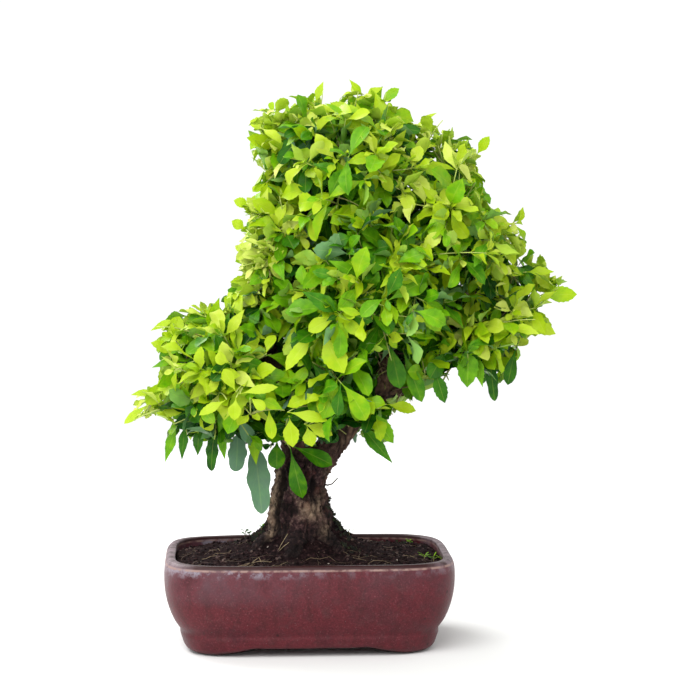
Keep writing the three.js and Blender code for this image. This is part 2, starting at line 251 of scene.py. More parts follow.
# %% [markdown]
# ## The pot
# A bonsai pot is pressed in a mould: a rectangle with round corners that swells from its feet to a belly
# and turns in at the lip. It could be a box with bevels, but the swell would then need many cuts. Here
# one rounded ring is extruded level after level, up the outside, over the lip and down the inside, and
# each level is then brought to its own width and height. The bottom rings also follow the low arch
# between the feet.

# %% Pot outline
POT_WIDTH, POT_DEPTH, POT_HEIGHT = (pot_high - pot_low) / MM
POT_WALL = 10.5
CORNER_POWER = 5  # the higher, the squarer the rounded rectangle
# The outside from the feet to the lip: share of the full width, and height in mm.
POT_OUTSIDE = [
    (0.81, 0), (0.848, 2.5), (0.866, 6), (0.879, 12.5), (0.889, 17.3), (0.8915, 19.2), (0.886, 21.6),
    (0.894, 24.2), (0.913, 28), (0.938, 34), (0.972, 47), (0.992, 60), (1, 73), (0.998, 86),
    (0.993, 91), (0.984, 94), (0.972, 96), (0.96, 97),
]
# The low arch between two feet: how far it has risen at a distance from its end, both in mm.
ARCH_RISE = [(0, 0), (10, 2.4), (24, 4.6), (34, 7.2), (42, 8.6), (54, 7.5), (200, 7.5)]
ARCH_SOFTENING = 4
# How far from the middle the arches end, in mm.
ARCH_SPAN = {"front": 98, "side": 60}
RING_STEPS = 192
RING_SAMPLES = 4001


def pot_share(height):
    """How wide the outside is at a height in mm, as a share of the full width."""
    return np.interp(height, [h for _, h in POT_OUTSIDE], [s for s, _ in POT_OUTSIDE])


def even_ring(steps):
    """Points round a rounded rectangle of half width and depth 1, evenly spaced along the pot's edge."""
    turn = np.linspace(0, 2 * math.pi, RING_SAMPLES)
    x = np.sign(np.cos(turn)) * np.abs(np.cos(turn)) ** (2 / CORNER_POWER)
    y = np.sign(np.sin(turn)) * np.abs(np.sin(turn)) ** (2 / CORNER_POWER)
    run = np.concatenate([[0], np.cumsum(np.hypot(np.diff(x) * POT_WIDTH, np.diff(y) * POT_DEPTH))])
    even = np.linspace(0, run[-1], steps, endpoint=False)
    return np.interp(even, run, x), np.interp(even, run, y)


def arch_height(x, y):
    """How high the apron's lower edge stands at a place of the foot ring."""
    run = max(ARCH_SPAN["front"] - abs(x), ARCH_SPAN["side"] - abs(y))
    shifts = (-ARCH_SOFTENING, 0, ARCH_SOFTENING)
    softened = [np.interp(run + shift, *zip(*ARCH_RISE)) for shift in shifts]
    return sum(softened) / len(shifts) if run > 0 else 0.0


# %% Pot levels
FOOT_BAND = 19  # levels below this height follow the arch, in mm
FOOT_EDGE = 0.8  # the outer edge of the feet's underside, as a share of the full width
FLOOR_UNDER = 10
FLOOR_TOP = 20
# Each level: share of the full width, inset in mm, height in mm, and whether it follows the arch.
LEVELS = [(0.4, 0, FLOOR_UNDER, False), (0.87, 15, FLOOR_UNDER, False)]
LEVELS += [(0.87, 14, FLOOR_UNDER - 0.7, False)]
LEVELS += [(0.85, 14, 1.0, True), (0.85, 13, 0.1, True), (FOOT_EDGE, 0, 0.1, True)]
LEVELS += [(share, 0, height, height < FOOT_BAND) for share, height in POT_OUTSIDE[1:]]
LEVELS += [(0.95, 0, POT_HEIGHT, False), (0.975, 7.5, POT_HEIGHT - 0.1, False)]
LEVELS += [(0.985, POT_WALL - 0.6, 96, False), (0.99, POT_WALL, 93, False)]
LEVELS += [(pot_share(h), POT_WALL, h, False) for h in (86, 73, 60, 47, 34, 24)]
LEVELS += [(0.86, POT_WALL + 3, FLOOR_TOP, False), (0.4, POT_WALL, FLOOR_TOP, False)]

pot_bm = bmesh.new()
ring_x, ring_y = even_ring(RING_STEPS)
ring = bmesh.ops.create_circle(pot_bm, segments=RING_STEPS, radius=1, cap_ends=True)["verts"]
for vert, x, y in zip(ring, ring_x, ring_y):
    vert.co = (x, y, 0)
top_face = ring[0].link_faces[0]
for _ in LEVELS[1:]:
    grown = bmesh.ops.extrude_discrete_faces(pot_bm, faces=[top_face])
    top_face = grown["faces"][0]
    bmesh.ops.translate(pot_bm, vec=UP, verts=top_face.verts)
bmesh.ops.delete(pot_bm, geom=[top_face], context="FACES_ONLY")
print("pot levels", len(LEVELS), "faces", len(pot_bm.faces))

HAND_MADE = 0.5  # how far the clay wanders from the true shape, in mm
WANDER_SIZE = 55  # over what length it does so, in mm
for vert in pot_bm.verts:
    share, inset, height, on_arch = LEVELS[round(vert.co.z)]
    if on_arch:
        lift = arch_height(vert.co.x * POT_WIDTH / 2 * share, vert.co.y * POT_DEPTH / 2 * share)
        height = lift + height * (FOOT_BAND - lift) / FOOT_BAND
        share = pot_share(height) if inset == 0 and share > FOOT_EDGE else share
    x = vert.co.x * (POT_WIDTH / 2 * share - inset)
    y = vert.co.y * (POT_DEPTH / 2 * share - inset)
    wander = noise.noise_vector(Vector((x, y, height)) / WANDER_SIZE) * HAND_MADE
    vert.co = at(x + wander.x, y + wander.y, height + wander.z * min(height / FOOT_BAND, 1))

# The round openings in the floor's middle, above and below, are capped after the wall has been smoothed,
# because smoothing a face of 192 corners is very slow.
pot_mesh = applied(mesh_of(pot_bm, "pot_clay"), "SUBSURF", levels=1, render_levels=1)
pot_bm = bmesh.new()
pot_bm.from_mesh(pot_mesh)
bmesh.ops.holes_fill(pot_bm, edges=[edge for edge in pot_bm.edges if edge.is_boundary], sides=0)
bmesh.ops.recalc_face_normals(pot_bm, faces=pot_bm.faces[:])
pot_mesh = mesh_of(pot_bm, "pot_clay")

# %% Drain holes
DRAIN_RADIUS = 9
DRAIN_OFFSET = 72
FLOOR_MIDDLE = (FLOOR_UNDER + FLOOR_TOP) / 2
BORE_LENGTH = 30
drain_bm = bmesh.new()
for side in (-1, 1):
    bore = bmesh.ops.create_cone(
        drain_bm, cap_ends=True, segments=24, radius1=DRAIN_RADIUS * MM, radius2=DRAIN_RADIUS * MM,
        depth=BORE_LENGTH * MM,
    )
    bmesh.ops.translate(drain_bm, vec=at(side * DRAIN_OFFSET, 0, FLOOR_MIDDLE), verts=bore["verts"])
drains = bpy.data.objects.new("drains", mesh_of(drain_bm, "drains"))
bpy.context.scene.collection.objects.link(drains)
pot_mesh = applied(pot_mesh, "BOOLEAN", operation="DIFFERENCE", object=drains, solver="EXACT")
bpy.data.objects.remove(drains)
print("pot faces", len(pot_mesh.polygons))

# %% [markdown]
# ### Its glaze
# The clay is stoneware under an iron-red glaze, fired in one go. Such a glaze runs in darker streaks,
# breaks brown and grey where it is thin, hazes over near the top, and wears to pale clay along the lip. It
# is satin rather than glossy, with pin-sized pale specks and dark pits. Light and shade are painted in
# as well: the haze is painted stronger on the left, where the key lamp stands, with a bluish painted
# highlight under the lip there, and the lip is painted dark as shade. It could be one painted picture
# round the pot, but that would stretch at the corners. Here each of these is a pattern of its own real
# size in the clay's own space, laid over the last.

# %% Glaze
glaze, tree, here = blank_material("iron_red_glaze_on_stoneware")
height = add(tree, "SeparateXYZ", {0: here}, out="Z")
across = add(tree, "SeparateXYZ", {0: here}, out="X")
cloud = add(tree, "TexNoise", {"Vector": here, "Scale": per_mm(46), "Detail": 4, "Roughness": 0.6})
blotch = add(tree, "TexNoise", {"Vector": here, "Scale": per_mm(11), "Detail": 4, "Roughness": 0.65})
upright = add(tree, "Mapping", {"Vector": here, "Scale": (1, 1, 0.18)})
drip = add(tree, "TexNoise", {"Vector": upright, "Scale": per_mm(9), "Detail": 3})
shades = [(0.3, "#41111A"), (0.48, "#54171F"), (0.62, "#48181F"), (0.75, "#5A1D25")]
tone = add(tree, "ValToRGB", {0: cloud}, stops=shades)
grit = add(tree, "TexNoise", {"Vector": here, "Scale": per_mm(1.8), "Detail": 4, "Roughness": 0.7})
# Over the body colour lie dark runs, thin brown spots, dark grit and pale grit. Each starts to show at
# one value of its pattern and is fully there at another.
layers = [
    (drip, 0.5, 0.7, 0.5, "#3A1013"),
    (blotch, 0.54, 0.72, 0.5, "#4A2A2C"),
    (grit, 0.5, 0.34, 0.55, "#24080C"),
    (grit, 0.56, 0.72, 0.5, "#7B454C"),
]
for pattern, start, full, most, shade in layers:
    share = add(tree, "MapRange", {0: pattern, 1: start, 2: full, 3: 0.0, 4: most})
    tone = add(tree, "Mix", {0: share, 6: tone, 7: shade}, **COLOUR)
print("glaze, body and grit:", len(tree.nodes), "nodes")

# %% Glaze, haze and dots
# A pale haze of the glaze lies near the top, painted stronger on the left as painted light from the key
# lamp, and a bluish painted highlight lies in patches under the lip on that side.
# Painted light from the key lamp: full on the pot's left, a fifth of it right of the middle.
left = add(tree, "MapRange", {0: across, 1: HOME.x + 20 * MM, 2: HOME.x - 50 * MM, 3: 0.22, 4: 1.0})
upward = add(tree, "MapRange", {0: height, 1: 52 * MM, 2: 92 * MM})
haze_and_painted_light = add(tree, "MapRange", {0: cloud, 1: 0.35, 2: 0.62, 3: 0.1, 4: 0.75})
haze_and_painted_light = add(tree, "Math", {0: upward, 1: haze_and_painted_light}, operation="MULTIPLY")
haze_and_painted_light = add(tree, "Math", {0: haze_and_painted_light, 1: left}, operation="MULTIPLY")
tone = add(tree, "Mix", {0: haze_and_painted_light, 6: tone, 7: "#5C434B"}, **COLOUR)
painted_rim_highlight = add(tree, "MapRange", {0: height, 1: 83 * MM, 2: 90 * MM})
patches = add(tree, "MapRange", {0: blotch, 1: 0.47, 2: 0.6, 3: 0.0, 4: 0.8})
painted_rim_highlight = add(tree, "Math", {0: painted_rim_highlight, 1: patches}, operation="MULTIPLY")
painted_rim_highlight = add(tree, "Math", {0: painted_rim_highlight, 1: left}, operation="MULTIPLY")
tone = add(tree, "Mix", {0: painted_rim_highlight, 6: tone, 7: "#85808B"}, **COLOUR)
# Pale specks and dark pits: how far apart in mm, their core and edge as shares of that, how strong.
dots = [(6, 0.03, 0.08, 0.3, "#A38E90"), (21, 0.05, 0.1, 0.7, "#16070A")]
for apart, core, edge, most, shade in dots:
    dot = add(tree, "TexVoronoi", {"Vector": here, "Scale": per_mm(apart)}, out="Distance")
    dot = add(tree, "MapRange", {0: dot, 1: core, 2: edge, 3: most, 4: 0.0})
    tone = add(tree, "Mix", {0: dot, 6: tone, 7: shade}, **COLOUR)
print("with haze and dots:", len(tree.nodes), "nodes")

# %% Glaze along the lip
# The lip is painted dark red-brown, as painted shade on its upward face, which the lamps light from
# above. The corners below it are dusty, and its outer edge is worn to pale clay.
lip_painted_shade = add(tree, "MapRange", {0: height, 1: 92.8 * MM, 2: 94.2 * MM})
tone = add(tree, "Mix", {0: lip_painted_shade, 6: tone, 7: "#2E1213"}, **COLOUR)
sideward = add(tree, "Math", {0: across, 1: -HOME.x}, operation="ADD")
sideward = add(tree, "Math", {0: sideward}, operation="ABSOLUTE")
corners = add(tree, "MapRange", {0: sideward, 1: 118 * MM, 2: 148 * MM, 3: 0.0, 4: 0.75})
rim = add(tree, "MapRange", {0: height, 1: 84 * MM, 2: 93 * MM})
rim = add(tree, "Math", {0: rim, 1: corners}, operation="MULTIPLY")
dusty = add(tree, "MapRange", {0: blotch, 1: 0.36, 2: 0.56})
rim = add(tree, "Math", {0: rim, 1: dusty}, operation="MULTIPLY")
tone = add(tree, "Mix", {0: rim, 6: tone, 7: "#7E6B72"}, **COLOUR)
turned = add(tree, "Math", {0: height, 1: -92.6 * MM}, operation="ADD")
turned = add(tree, "Math", {0: turned}, operation="ABSOLUTE")
turned = add(tree, "MapRange", {0: turned, 1: 0.5 * MM, 2: 1.5 * MM, 3: 1.0, 4: 0.0})
rub = add(tree, "TexNoise", {"Vector": here, "Scale": per_mm(7), "Detail": 5})
rub = add(tree, "MapRange", {0: rub, 1: 0.38, 2: 0.56, 3: 0.15, 4: 0.9})
worn = add(tree, "Math", {0: turned, 1: rub}, operation="MULTIPLY")
tone = add(tree, "Mix", {0: worn, 6: tone, 7: "#8A7068"}, **COLOUR)
# Satin, and never quite even.
satin = add(tree, "MapRange", {0: grit, 1: 0.35, 2: 0.65, 3: 0.36, 4: 0.56})
skin = add(tree, "TexNoise", {"Vector": here, "Scale": per_mm(3.2), "Detail": 4})
skin = add(tree, "Bump", {"Height": skin, "Distance": 0.25 * MM})
look = {"Base Color": tone, "Roughness": satin, "Specular IOR Level": 0.24, "Normal": skin}
add(tree, "OutputMaterial", {"Surface": add(tree, "BsdfPrincipled", look)})
piece("pot_glazed", pot_mesh, [glaze], ["pot"])

# %% [markdown]
# ### The drain screens
# A square of plastic mesh lies over each drain hole and keeps the soil in. It is moulded from black
# polyethylene, which shows as a dull, slightly grey black. The frame's own solids are right as they are,
# so they only get this finish.

# %% Drain screen finish
screen_skin, tree, here = blank_material("moulded_black_polyethylene")
scuff = add(tree, "TexNoise", {"Vector": here, "Scale": per_mm(1.5), "Detail": 3})
tone = add(tree, "ValToRGB", {0: scuff}, stops=[(0.3, "#0F1011"), (0.7, "#26282A")])
moulded = add(tree, "Bump", {"Height": scuff, "Distance": 0.05 * MM})
look = {"Base Color": tone, "Roughness": 0.6, "Specular IOR Level": 0.4, "Normal": moulded}
add(tree, "OutputMaterial", {"Surface": add(tree, "BsdfPrincipled", look)})
for side in ("left", "right"):
    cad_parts["drain_screen_" + side].material_slots[0].material = screen_skin
print("drain screens finished")

# %% [markdown]
# ## The soil
# The pot is filled with peat and bark crumbs, mounded up against the trunk. The surface is one grid,
# drawn out to the pot's inside, raised to the mound and roughened crumb by crumb. Its rim is extruded
# down to close it.

# %% Soil body
SOIL_EDGE = 88  # the soil's height at the pot's wall, in mm
SOIL_SWELL = 5  # how far the fill rises from the pot's wall towards the middle, in mm
MOUND = {"height": 64, "reach": 45, "centre": (-6, 26)}
SOIL_CELLS = (200, 140)
SOIL_BOTTOM = 22
SOIL_TOP_SHARE = 0.99
SOIL_GAP = 0.4  # between the soil and the pot's inside, in mm
INNER_WIDTH, INNER_DEPTH = POT_WIDTH - 2 * POT_WALL, POT_DEPTH - 2 * POT_WALL


def outline_sum(u, v):
    """Less than 1 inside the pot's rounded outline and 1 on it. u and v are shares of its half sides."""
    return abs(u) ** CORNER_POWER + abs(v) ** CORNER_POWER


def soil_height(x, y):
    """The smooth height of the soil, in mm over the table."""
    edge = outline_sum(2 * x / INNER_WIDTH, 2 * y / INNER_DEPTH)
    away = math.hypot(x - MOUND["centre"][0], y - MOUND["centre"][1]) / MOUND["reach"]
    return SOIL_EDGE + SOIL_SWELL * (1 - min(edge, 1)) + MOUND["height"] * math.exp(-(away**2))


def crumbs(x, y):
    """How far the crumbs stand up from the smooth soil, in mm."""
    coarse = noise.voronoi(Vector((x, y, 0)) / 7.0)[0][0]
    fine = noise.voronoi(Vector((x, y, 40)) / 3.1)[0][0]
    clods = noise.fractal(Vector((x, y, 80)) / 24, 1.0, 2.0, 3)
    return 2.2 * clods + 2.4 * (0.45 - coarse) + 1.5 * (0.4 - fine)


soil_bm = bmesh.new()
bmesh.ops.create_grid(soil_bm, x_segments=SOIL_CELLS[0], y_segments=SOIL_CELLS[1], size=1)
soil_rim = [edge for edge in soil_bm.edges if edge.is_boundary]
skirt = bmesh.ops.extrude_edge_only(soil_bm, edges=soil_rim)["geom"]
low_verts = {item for item in skirt if isinstance(item, bmesh.types.BMVert)}
for vert in soil_bm.verts:
    u, v = vert.co.x, vert.co.y
    round_off = max(abs(u), abs(v)) / max(outline_sum(u, v) ** (1 / CORNER_POWER), 1e-6)
    low = vert in low_verts
    share = pot_share(SOIL_BOTTOM) if low else SOIL_TOP_SHARE
    x = u * round_off * (POT_WIDTH / 2 * share - POT_WALL - SOIL_GAP)
    y = v * round_off * (POT_DEPTH / 2 * share - POT_WALL - SOIL_GAP)
    vert.co = at(x, y, SOIL_BOTTOM if low else soil_height(x, y) + crumbs(x, y))
bmesh.ops.holes_fill(soil_bm, edges=soil_bm.edges[:], sides=0)
bmesh.ops.recalc_face_normals(soil_bm, faces=soil_bm.faces[:])
print("soil faces", len(soil_bm.faces))

# %% Soil material
peat, tree, here = blank_material("moist_peat_and_bark_crumbs")
mottle = add(tree, "TexNoise", {"Vector": here, "Scale": per_mm(5), "Detail": 5, "Roughness": 0.7})
shades = [(0.34, "#0D0708"), (0.5, "#231618"), (0.6, "#3A2829"), (0.74, "#6B5248")]
tone = add(tree, "ValToRGB", {0: mottle}, stops=shades)
# Between the crumbs the peat is painted near black, as painted shade in the gaps.
cell = add(tree, "TexVoronoi", {"Vector": here, "Scale": per_mm(3.2)}, out="Distance")
painted_shade_in_gaps = add(tree, "MapRange", {0: cell, 1: 0.2, 2: 0.75, 3: 0.0, 4: 0.75})
tone = add(tree, "Mix", {0: painted_shade_in_gaps, 6: tone, 7: "#0B0606"}, **COLOUR)
patch = add(tree, "TexNoise", {"Vector": here, "Scale": per_mm(30)})
patch = add(tree, "MapRange", {0: patch, 1: 0.45, 2: 0.65, 3: 0.0, 4: 0.4})
tone = add(tree, "Mix", {0: patch, 6: tone, 7: "#241716"}, **COLOUR)
rough = add(tree, "TexNoise", {"Vector": here, "Scale": per_mm(1.2), "Detail": 4, "Roughness": 0.7})
rough = add(tree, "Bump", {"Height": rough, "Distance": 1.2 * MM})
look = {"Base Color": tone, "Roughness": 0.95, "Specular IOR Level": 0.06, "Normal": rough}
add(tree, "OutputMaterial", {"Surface": add(tree, "BsdfPrincipled", look)})
piece("soil_bed", mesh_of(soil_bm, "soil_bed"), [peat], ["soil"])

# %% [markdown]
# ## Trunk and limbs
# An old trunk is one skin over many lumps. The frame's wood is a bundle of joined tubes, so it is copied,
# its loose triangles are merged, and a voxel remesh melts the tubes into one even skin. Then the skin is
# pushed in and out: broad lumps, furrows that run up the stem, and the few scars that give this trunk its
# face.

# %% Wood skin
WOOD_VOXEL = 2.3 * MM
MERGE_WITHIN = 0.02 * MM
SMOOTHING_ROUNDS = 4
BARK_FROM, BARK_TOP = 96, 222  # between these heights in mm the wood has old, furrowed bark

wood_bm = bmesh.new()
wood_bm.from_mesh(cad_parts["trunk"].data)
bmesh.ops.remove_doubles(wood_bm, verts=wood_bm.verts[:], dist=MERGE_WITHIN)
wood_mesh = applied(mesh_of(wood_bm, "wood"), "REMESH", mode="VOXEL", voxel_size=WOOD_VOXEL)
wood_bm = bmesh.new()
wood_bm.from_mesh(wood_mesh)
for _ in range(SMOOTHING_ROUNDS):
    bmesh.ops.smooth_vert(
        wood_bm, verts=wood_bm.verts[:], factor=0.5, use_axis_x=True, use_axis_y=True, use_axis_z=True
    )
heights = (BARK_FROM * MM, BARK_TOP * MM)
bark_edges = [e for e in wood_bm.edges if all(heights[0] < v.co.z < heights[1] for v in e.verts)]
bmesh.ops.subdivide_edges(wood_bm, edges=bark_edges, cuts=1, use_grid_fill=True)
wood_bm.normal_update()
print("wood faces", len(wood_bm.faces))

# %% Bark relief
# Scars and lumps: centre, half width, half height, how far they stand out, all in mm, and how bare.
# Those that go in have a minus. The bare places along the trunk's left edge are painted pale partly as
# painted light, on the side that the key lamp lights.
SCARS = [
    ((-22, -24, 193), 3, 12, -7.5, 0.0), ((-28, -19, 175), 2.8, 12, -8.5, 0.0),
    ((-31, -17, 157), 2.4, 12, -7.5, 0.0), ((-34, -14, 138), 2.2, 16, -7.0, 0.0),
    ((-36, -8, 183), 5, 14, 0.8, 1.3), ((-38, -8, 162), 5.5, 15, -1.2, 1.4),
    ((-42, -8, 142), 6, 15, -2.4, 1.4), ((-41, -12, 122), 4.5, 10, -1.5, 1.1),
    ((-19, -26, 141), 6, 8, -4.0, 0.0), ((5, -26, 171), 4.5, 6, -8.0, 0.0),
    ((-4, -27, 184), 2.5, 12, -4.5, 0.0), ((4, -26, 142), 11, 9, 2.2, 0.85),
    ((14, -20, 156), 5, 8, 1.4, 0.6), ((18, -18, 122), 6, 8, 1.8, 0.5),
    ((-12, -24, 166), 6, 10, 3.2, 0.3), ((-8, -25, 126), 12, 9, 2.4, 0.0),
    ((20, -12, 150), 2.6, 20, -4.5, 0.0), ((23, -4, 178), 6, 15, 3.4, 0.5),
    ((36, -6, 214), 5, 5, 2.8, 0.3), ((-30, 12, 138), 12, 12, 3.0, 0.0),
    ((16, 30, 150), 10, 16, 3.0, 0.0), ((-14, 36, 160), 5, 22, -4.0, 0.0),
    ((28, 18, 130), 9, 10, 3.0, 0.0),
]
TRUNK_X = -10  # the trunk's axis in mm
BARK_FADE = 34  # over what height in mm old bark turns to young
# Where the foot is buried in peat: outside this radius or below this height, and never above the top.
PEAT = {"radius": 35, "height": 127, "top": 140}


def bark_relief(place, oldness):
    """How far the bark stands out at a place in mm, and how deep in a furrow it lies from 0 to 1."""
    lumps = noise.fractal(place / 21, 1.0, 2.1, 3)
    stretched = Vector((place.x / 6.5, place.y / 6.5, place.z / 24))
    stretched += noise.noise_vector(place / 15) * 0.8
    furrow = 1 - 2 * abs(noise.noise(stretched))
    flake = noise.voronoi(Vector((place.x, place.y, place.z * 0.55)) / 5.5)[0]
    plate = min((flake[1] - flake[0]) * 2.2, 1.0)
    fine = noise.fractal(place / 3.2, 1.0, 2.0, 3)
    out = oldness * (3.8 * lumps - 2.2 * furrow**3 + 1.0 * plate + 1.3 * fine)
    out += (1 - oldness) * (0.7 * lumps - 0.35 * furrow**2 + 0.18 * fine)
    return out, min(max(furrow**3 * 0.5 + (0.5 - plate) * 0.35 - lumps * 0.5 + 0.15, 0), 1)


# deep: how far a place lies in a furrow or crevice, where the bark is painted dark as painted shade.
deep = wood_bm.verts.layers.float.new("deep")
buried = wood_bm.verts.layers.float.new("buried")
bare_and_lit = wood_bm.verts.layers.float.new("bare_and_lit")
old = wood_bm.verts.layers.float.new("old")
moves = []
for vert in wood_bm.verts:
    spot = (vert.co - HOME) / MM
    oldness = min(max((BARK_TOP + 6 - spot.z) / BARK_FADE, 0.0), 1.0)
    out, furrow = bark_relief(spot, oldness)
    bare_and_lit_share = 0.0
    for centre, half_width, half_height, height, bare_and_lit_weight in SCARS:
        off = spot - Vector(centre)
        near = math.exp(-((off.x**2 + 0.1 * off.y**2) / half_width**2 + off.z**2 / half_height**2))
        out += height * near
        bare_and_lit_share += bare_and_lit_weight * near
        furrow += max(-height - 2.6, 0) * 0.3 * near
    vert[deep], vert[bare_and_lit], vert[old] = furrow, min(bare_and_lit_share, 1), oldness
    off_axis = math.hypot(spot.x - TRUNK_X, spot.y)
    peaty = max((off_axis - PEAT["radius"]) / 5, (PEAT["height"] - spot.z) / 9)
    peaty += 0.7 * noise.noise(spot / 6)
    vert[buried] = min(max(peaty, 0), 1) if spot.z < PEAT["top"] else 0
    moves.append(vert.normal * out * MM)
for vert, move in zip(wood_bm.verts, moves):
    vert.co += move
print("bark moved up to", round(max(m.length for m in moves) / MM, 1), "mm")

# %% [markdown]
# ### Its bark
# The bark is dark brown and dull, with a rusty tint in places, paler worn crests and a few tan patches
# where the outer layer has come off. Its furrows and crevices are painted near black, as painted shade,
# and the tan along the trunk's left edge is partly painted light, on the side that the key lamp lights.
# The limbs above are younger: smoother, lighter, with grain that runs along them. The foot is covered
# with crumbs of peat. The relief wrote how deep, how bare and lit, how old and how buried each place is,
# so the colour follows the shape.

# %% Bark material
bark, tree, here = blank_material("furrowed_old_bark")
flecks = add(tree, "TexNoise", {"Vector": here, "Scale": per_mm(6), "Detail": 7, "Roughness": 0.75})
shades = [(0.33, "#110A0B"), (0.46, "#2B1A1B"), (0.56, "#4A3334"), (0.7, "#8E7766")]
crest = add(tree, "ValToRGB", {0: flecks}, stops=shades)
upright = add(tree, "Mapping", {"Vector": here, "Scale": (1, 1, 0.35)})
strands = add(tree, "TexNoise", {"Vector": upright, "Scale": per_mm(5), "Detail": 4})
young = add(tree, "ValToRGB", {0: strands}, stops=[(0.3, "#4A372B"), (0.55, "#6B5342"), (0.8, "#8B705A")])
rust = add(tree, "TexNoise", {"Vector": here, "Scale": per_mm(13), "Detail": 3})
rust = add(tree, "MapRange", {0: rust, 1: 0.52, 2: 0.7, 3: 0.0, 4: 0.55})
crest = add(tree, "Mix", {0: rust, 6: crest, 7: "#57291F"}, **COLOUR)
age = add(tree, "Attribute", out="Fac", attribute_name="old")
tone = add(tree, "Mix", {0: age, 6: young, 7: crest}, **COLOUR)
damp = add(tree, "Attribute", out="Fac", attribute_name="buried")
damp = add(tree, "Math", {0: damp, 1: 0.92}, operation="MULTIPLY")
shades = [(0.36, "#0C0707"), (0.54, "#1F1415"), (0.7, "#46332E")]
crumbly = add(tree, "ValToRGB", {0: flecks}, stops=shades)
tone = add(tree, "Mix", {0: damp, 6: tone, 7: crumbly}, **COLOUR)
print("bark, old and young:", len(tree.nodes), "nodes")

# %% Bare places and furrows
tan = add(tree, "TexNoise", {"Vector": here, "Scale": per_mm(4), "Detail": 4})
tan = add(tree, "ValToRGB", {0: tan}, stops=[(0.35, "#7E6654"), (0.7, "#B79F85")])
torn_and_lit = add(tree, "TexNoise", {"Vector": here, "Scale": per_mm(6), "Detail": 3})
torn_and_lit = add(tree, "MapRange", {0: torn_and_lit, 1: 0.26, 2: 0.5})
bare_and_lit_share = add(tree, "Attribute", out="Fac", attribute_name="bare_and_lit")
torn_and_lit = add(tree, "Math", {0: bare_and_lit_share, 1: torn_and_lit}, operation="MULTIPLY")
tone = add(tree, "Mix", {0: torn_and_lit, 6: tone, 7: tan}, **COLOUR)
# Furrows and crevices are painted near black: painted shade.
depth = add(tree, "Attribute", out="Fac", attribute_name="deep")
shadow = add(tree, "MapRange", {0: depth, 1: 0.15, 2: 0.8, 3: 0.0, 4: 0.9})
tone = add(tree, "Mix", {0: shadow, 6: tone, 7: "#0E0908"}, **COLOUR)
rough = add(tree, "TexNoise", {"Vector": here, "Scale": per_mm(2.6), "Detail": 5, "Roughness": 0.75})
rough = add(tree, "Bump", {"Height": rough, "Distance": 1.6 * MM})
look = {"Base Color": tone, "Roughness": 0.9, "Specular IOR Level": 0.2, "Normal": rough}
add(tree, "OutputMaterial", {"Surface": add(tree, "BsdfPrincipled", look)})
piece("trunk_and_limbs", mesh_of(wood_bm, "trunk_and_limbs"), [bark], ["trunk"])

# %% [markdown]
# ## One leaf
# The leaf of this shrub narrows to a stalk at its base, is widest past the middle, and has a few coarse
# teeth towards its point. It is folded a little along the midrib. A leaf could be a picture on a flat
# card, but a card vanishes when it is seen from the side. Here a small grid is drawn out to the outline
# and doubled to a skin above and a skin below, which meet at the rim: a thin closed lens of 33 to 53
# faces. Every leaf on the tree is a bent copy of one of four such blanks.

# %% Leaf blanks
# From stalk to point: share of the length, and half width as a share of the widest.
OUTLINES = {
    "toothed": [
        (0, 0.05), (0.1, 0.06), (0.2, 0.2), (0.31, 0.48), (0.41, 0.78), (0.51, 0.98), (0.54, 0.91),
        (0.63, 1), (0.66, 0.87), (0.755, 0.87), (0.785, 0.71), (0.87, 0.56), (0.9, 0.4), (1, 0),
    ],
    "spoon": [
        (0, 0.05), (0.1, 0.06), (0.22, 0.2), (0.38, 0.58), (0.54, 0.9), (0.68, 1), (0.8, 0.9),
        (0.91, 0.6), (1, 0),
    ],
    "pointed": [
        (0, 0.06), (0.09, 0.08), (0.19, 0.32), (0.3, 0.7), (0.41, 0.96), (0.5, 1), (0.53, 0.9),
        (0.66, 0.8), (0.69, 0.67), (0.83, 0.36), (1, 0),
    ],
    "hanging": [
        (0, 0.06), (0.06, 0.14), (0.16, 0.62), (0.27, 0.82), (0.36, 0.8), (0.46, 0.99), (0.54, 1),
        (0.66, 0.82), (0.78, 0.8), (0.89, 0.64), (0.96, 0.38), (1, 0.1),
    ],
}
HALF_THICKNESS = 0.25 * MM


def leaf_blank(name, outline):
    """A flat leaf as a mesh, 1 long and 1 to each side, and its points as shares, sides and skins."""
    rows = len(outline) - 1
    bm = bmesh.new()
    under = bm.faces.layers.float.new("under")
    bmesh.ops.create_grid(bm, x_segments=rows, y_segments=2, size=1)
    place_on_leaf = bm.loops.layers.uv.new("leaf")
    for face in bm.faces:
        for corner in face.loops:
            row = outline[round((corner.vert.co.x + 1) / 2 * rows)]
            corner[place_on_leaf].uv = ((corner.vert.co.y + 1) / 2, row[0])
    for vert in bm.verts:
        share, half = outline[round((vert.co.x + 1) / 2 * rows)]
        on_midrib = abs(vert.co.y) < 0.5
        vert.co = (share, vert.co.y * half, 1 if on_midrib and half else 0)
    lower = bmesh.ops.duplicate(bm, geom=bm.faces[:])["geom"]
    lower_faces = [item for item in lower if isinstance(item, bmesh.types.BMFace)]
    bmesh.ops.reverse_faces(bm, faces=lower_faces)
    for face in lower_faces:
        face[under] = 1
    for vert in {vert for face in lower_faces for vert in face.verts}:
        vert.co.z = -vert.co.z
    bmesh.ops.remove_doubles(bm, verts=bm.verts[:], dist=0.0001)
    bmesh.ops.holes_fill(bm, edges=bm.edges[:], sides=4)
    for edge in bm.edges:
        on_rim = len({face[under] for face in edge.link_faces}) == 2
        edge.smooth = not on_rim
    points = np.array([vert.co for vert in bm.verts])
    return mesh_of(bm, name), points


BLANKS = {name: leaf_blank(name, outline) for name, outline in OUTLINES.items()}
# The numbers of each blank's point and of its two widest corners.
CORNERS = {
    name: (int(points[:, 0].argmax()), int(points[:, 1].argmax()), int(points[:, 1].argmin()))
    for name, (_, points) in BLANKS.items()
}
print("faces in a leaf", {name: len(mesh.polygons) for name, (mesh, _) in BLANKS.items()})

